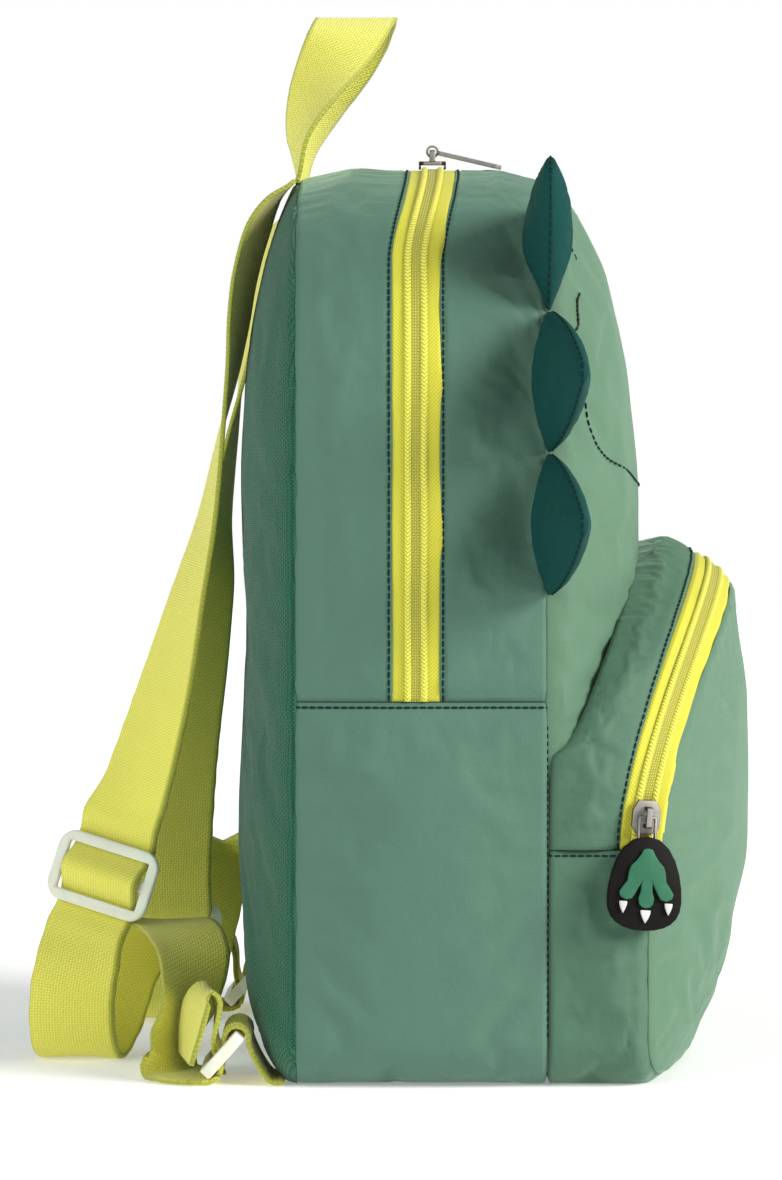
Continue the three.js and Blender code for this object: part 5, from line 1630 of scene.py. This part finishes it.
def spike(word, order, side):
    middle = SPIKE_ROW_START + (order + 0.5) * SPIKE_SHARE
    lean = math.tan(math.radians(SPIKE_LEANS[order]))
    half = (SPIKE_SHARE - GAP / BAG_OUTLINE.length) / 2
    heights = np.linspace(0, 1, SPIKE_RINGS)
    length, thickness = eased_profile(heights).T
    angle = np.linspace(0, 2 * math.pi, SPIKE_SIDES, endpoint=False)

    def shared(share):
        return share if side < 0 else 1 - share

    centre = BAG_OUTLINE.station(np.array([shared(middle)]))
    up = np.array([centre.out_x[0], 0, centre.out_z[0]])
    way_round = middle + half * length[:, None] * np.cos(angle)
    foot = BAG_OUTLINE.station(shared(way_round))
    thick = np.sign(np.sin(angle)) * np.abs(np.sin(angle)) ** SPIKE_SHARPNESS
    ridge = np.abs(np.sin(angle))
    along = way_round * BAG_OUTLINE.length / WRINKLE_PERIOD
    wrinkle = SPIKE_WRINKLES(along + heights[:, None] * 9, np.sign(thick) * 7 + 20)
    swell = 1 + WRINKLE_SHARE * wrinkle * np.exp(-ridge / WRINKLE_REACH) * ridge / (ridge + 0.1)
    across = thick * swell * thickness[:, None] * SPIKE_THICKNESS / 2
    behind = FRONT_SEAM_Y + np.maximum(across, 0)
    surface = gusset_puff(foot, behind) - spike_dent(foot, behind)
    stand_out = GAP * 3 + surface * (1 - heights[:, None])
    points = foot.at(stand_out, FRONT_SEAM_Y + across - lean * heights[:, None] * SPIKE_REACH)
    points = points + up * (heights * SPIKE_REACH)[:, None, None]
    uv = flat_uv(points)
    wide = uv[..., 1]
    round_ = np.concatenate([wide, 2 * wide[:, -1:] - wide[:, -2:-1]], 1)
    round_uv = np.stack(np.broadcast_arrays(uv[:, :1, 0], round_), -1)
    name = f"spike_{word}_{order + 1}_padding"
    mesh = ring_mesh(name, points, round_uv, np.concatenate([uv[0], uv[-1]]))
    with reshaped(mesh) as shape:
        bmesh.ops.recalc_face_normals(shape, faces=shape.faces)
    piece = new_piece(name, mesh, spike_cloth, "spike_fabric")
    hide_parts(f"spike_{word}_{order + 1}")
    half_round = SPIKE_SIDES // 2
    held = {v for v in range(SPIKE_RINGS * SPIKE_SIDES) if v < SPIKE_SIDES or v % half_round == 0}
    settling.add(piece, pressure=2, slack=0.02, cap=1.5, held=held)
    ridge_line = np.concatenate([points[:, half_round], points[::-1, 0]])
    facing = unit(ridge_line - points.reshape(-1, 3).mean(0))
    stitches(f"spike_{word}_{order + 1}_thread", ridge_line[2:-2], facing[2:-2], dark_thread,
             "spike_fabric", SPIKE_SEWING)


for word, side in (("left", -1), ("right", 1)):
    for order in range(len(SPIKE_LEANS)):
        spike(word, order, side)


# Zips

ZIP_STATIONS = 361
ZIP_COLUMNS = 31
TAPE_WALL = 0.6
CORD_WALL = 0.2
CORD_GROOVE = 0.25
MAIN_RUFFLE = 0.12
POCKET_RUFFLE = 0.35
RUFFLE_LENGTH = 11
CHEEK_WALL = 0.8
CHEEK_SETBACK = 1.5
CHEEK_SINK = 1


def zip_relief(across):
    """Height of the closed zip over its tape at places across it."""
    off = np.abs(np.abs(across) - CORD_SPACING / 2) / (CORD_WIDTH / 2)
    cord = CORD_RISE * np.sqrt(np.maximum(1 - off ** 2, 0))
    groove = CORD_GROOVE * (np.abs(across) < CORD_SPACING / 2 - CORD_WIDTH / 2)
    return cord + groove


def tape_relief(along, across, half, ruffle):
    """Waviness along a tape's edges, and the drop where they tuck under the cloth."""
    off = np.abs(across)
    wave = ruffle * RUFFLE(along / RUFFLE_LENGTH, 30 + np.sign(across) * 4) * (off / half) ** 2
    return wave - TAPE_TUCK * smoothstep(off, half, half + TAPE_TUCK)


def closed_zip(word, along, half, ruffle, surface, outward):
    """A zip's tape and the cords on it. surface takes places across it and heights over it."""
    cord_reach = CORD_SPACING / 2 + CORD_WIDTH / 2
    layers = (
        ("cloth", "tape", half + TAPE_TUCK, TAPE_WALL, zip_tape,
         lambda across: tape_relief(along, across, half, ruffle)),
        ("cords", "coil", cord_reach, CORD_WALL, zip_cord,
         lambda across: GAP + zip_relief(across) + 0 * along),
    )
    for kind, node, reach, wall, material, relief in layers:
        across = np.linspace(-reach, reach, ZIP_COLUMNS)[None, :]
        cloth = Cloth(surface(across, relief(across)), outward)
        # Millimetres along the zip, and to each side of its middle
        uv = np.stack(np.broadcast_arrays(along, across), -1)
        cloth.sheet(f"{word}_zip_{kind}", f"{word}_zip_{node}", material, f"zip_{node}", wall,
                    uv=uv)


def main_zip():
    over_zip = above(BAG_OUTLINE, SIDE_SEAM_HEIGHT, ZIP_STATIONS)
    station = BAG_OUTLINE.station(over_zip).column()
    middle = zip_middle(station)
    face = gusset_puff(station, middle) - 2 * GAP
    closed_zip("main", station.share * BAG_OUTLINE.length, ZIP_TAPE_WIDTH / 2, MAIN_RUFFLE,
               lambda across, rise: station.at(face + rise, middle + across), outward_of(station))


main_zip()


def slider_cheeks():
    """The bent edges of the main slider's plate, which reach down to the tape."""
    low, high = (np.array(corner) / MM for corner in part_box("main_slider"))
    top = BAG_OUTLINE.station(np.array([0.5]))
    tape = BAG_HEIGHT + float(gusset_puff(top, zip_middle(top))[0]) - CHEEK_SINK
    ends = (low[0] + CHEEK_SETBACK, high[0] - CHEEK_SETBACK)
    for word, side, edge in (("front", 1, low[1]), ("rear", -1, high[1])):
        section = [(edge, low[2] + CHEEK_WALL), (edge, tape), (edge + side * CHEEK_WALL, tape),
                   (edge + side * CHEEK_WALL, low[2])]
        points = [(x, y, z) for x in ends for y, z in section]
        name = f"main_slider_cheek_{word}"
        mesh = mesh_of(name, points, ring_faces(len(ends), len(section)))
        with reshaped(mesh) as shape:
            bmesh.ops.recalc_face_normals(shape, faces=shape.faces)
            bmesh.ops.bevel(shape, geom=shape.edges[:], offset=CHEEK_WALL * MM / 4, segments=2,
                            affect="EDGES")
        mesh.shade_smooth()
        new_piece(name, mesh, metal, "metal")


slider_cheeks()


def pocket_zip():
    station = pocket_arch
    inner = station.at(-POCKET_WALL, pocket_zip_inner_y(station) - GAP / 2)
    outer = station.at(-pocket_zip_outer_inset(station),
                       pocket_zip_inner_y(station) - POCKET_ZIP_DEPTH + GAP / 2)
    width = np.linalg.norm(outer - inner, axis=-1, keepdims=True)
    zip_across = (outer - inner) / width
    zip_along = unit(np.gradient(inner + outer, axis=0))
    lift = unit(np.cross(zip_across, zip_along))
    lift = lift * np.sign(np.sum(lift * outward_of(station), -1, keepdims=True) + 1e-9)

    def surface(across, rise):
        return lerp(inner, outer, 0.5) + zip_across * across[..., None] + lift * rise[..., None]

    closed_zip("pocket", station.share * POCKET_OUTLINE.length, float(width.min()) / 2,
               POCKET_RUFFLE, surface, lift)


pocket_zip()


# Settled cloth, and the lines sewn on it afterwards

settling.run()

for side in (-1, 1):
    word = "left" if side < 0 else "right"
    for order, route in enumerate(FRONT_LINES):
        path, facing = line_on(front, [(-side * x, z) for x, z in route], LINE_STEP)
        stitches(f"front_line_{word}_{order + 1}", path, facing, dark_thread, "front_fabric",
                 LINE_SEWING)
    path, facing = line_on(front, [(-side * x, z) for x, z in BAR_TACK], TACK_STEP)
    stitches(f"bar_tack_{word}", path, facing, tack_thread, "front_fabric", TACK_SEWING)


# Camera, floor and lights

def studio():
    data = bpy.data.cameras.new("camera")
    data.lens = CAMERA_LENS
    camera = bpy.data.objects.new("camera", data)
    bpy.context.collection.objects.link(camera)
    camera.location = (-CAMERA_DISTANCE * MM, 0, CAMERA_HEIGHT * MM)
    camera.rotation_euler = (math.pi / 2 - CAMERA_DROP, 0, -math.pi / 2)
    bpy.context.scene.camera = camera

    floor_mesh = bpy.data.meshes.new("floor")
    half = FLOOR_HALF_WIDTH
    floor_mesh.from_pydata([(-half, -half, 0), (half, -half, 0), (half, half, 0), (-half, half, 0)],
                           [], [(0, 1, 2, 3)])
    floor = bpy.data.objects.new("floor", floor_mesh)
    floor.location.z = -FLOOR_DROP * MM
    bpy.context.collection.objects.link(floor)
    paper = bpy.data.materials.new("paper")
    paper.use_nodes = True
    surface = paper.node_tree.nodes["Principled BSDF"].inputs
    surface["Base Color"].default_value = (*PAPER, 1)
    surface["Roughness"].default_value = PAPER_ROUGHNESS
    surface["Emission Color"].default_value = (*WHITE, 1)
    surface["Emission Strength"].default_value = FLOOR_GLOW
    floor_mesh.materials.append(paper)

    world = bpy.data.worlds.new("studio")
    world.use_nodes = True
    nodes, links = world.node_tree.nodes, world.node_tree.links
    nodes["Background"].inputs["Color"].default_value = (*AMBIENT_COLOUR, 1)
    nodes["Background"].inputs["Strength"].default_value = AMBIENT
    backdrop = nodes.new("ShaderNodeBackground")
    backdrop.inputs["Color"].default_value = (*WHITE, 1)
    seen = nodes.new("ShaderNodeLightPath")
    choice = nodes.new("ShaderNodeMixShader")
    links.new(seen.outputs["Is Camera Ray"], choice.inputs["Fac"])
    links.new(nodes["Background"].outputs[0], choice.inputs[1])
    links.new(backdrop.outputs[0], choice.inputs[2])
    links.new(choice.outputs[0], nodes["World Output"].inputs["Surface"])
    bpy.context.scene.world = world
    bpy.context.scene.view_settings.view_transform = "Standard"

    for name, azimuth, elevation, softness, strength, colour in LIGHTS:
        lamp = bpy.data.lights.new(name, "SUN")
        lamp.energy = strength
        lamp.angle = math.radians(softness)
        lamp.color = colour
        light = bpy.data.objects.new(name, lamp)
        azimuth, elevation = math.radians(azimuth), math.radians(elevation)
        towards = Vector((-math.cos(azimuth) * math.cos(elevation),
                          -math.sin(azimuth) * math.cos(elevation), math.sin(elevation)))
        light.rotation_euler = towards.to_track_quat("Z", "Y").to_euler()
        bpy.context.collection.objects.link(light)


studio()
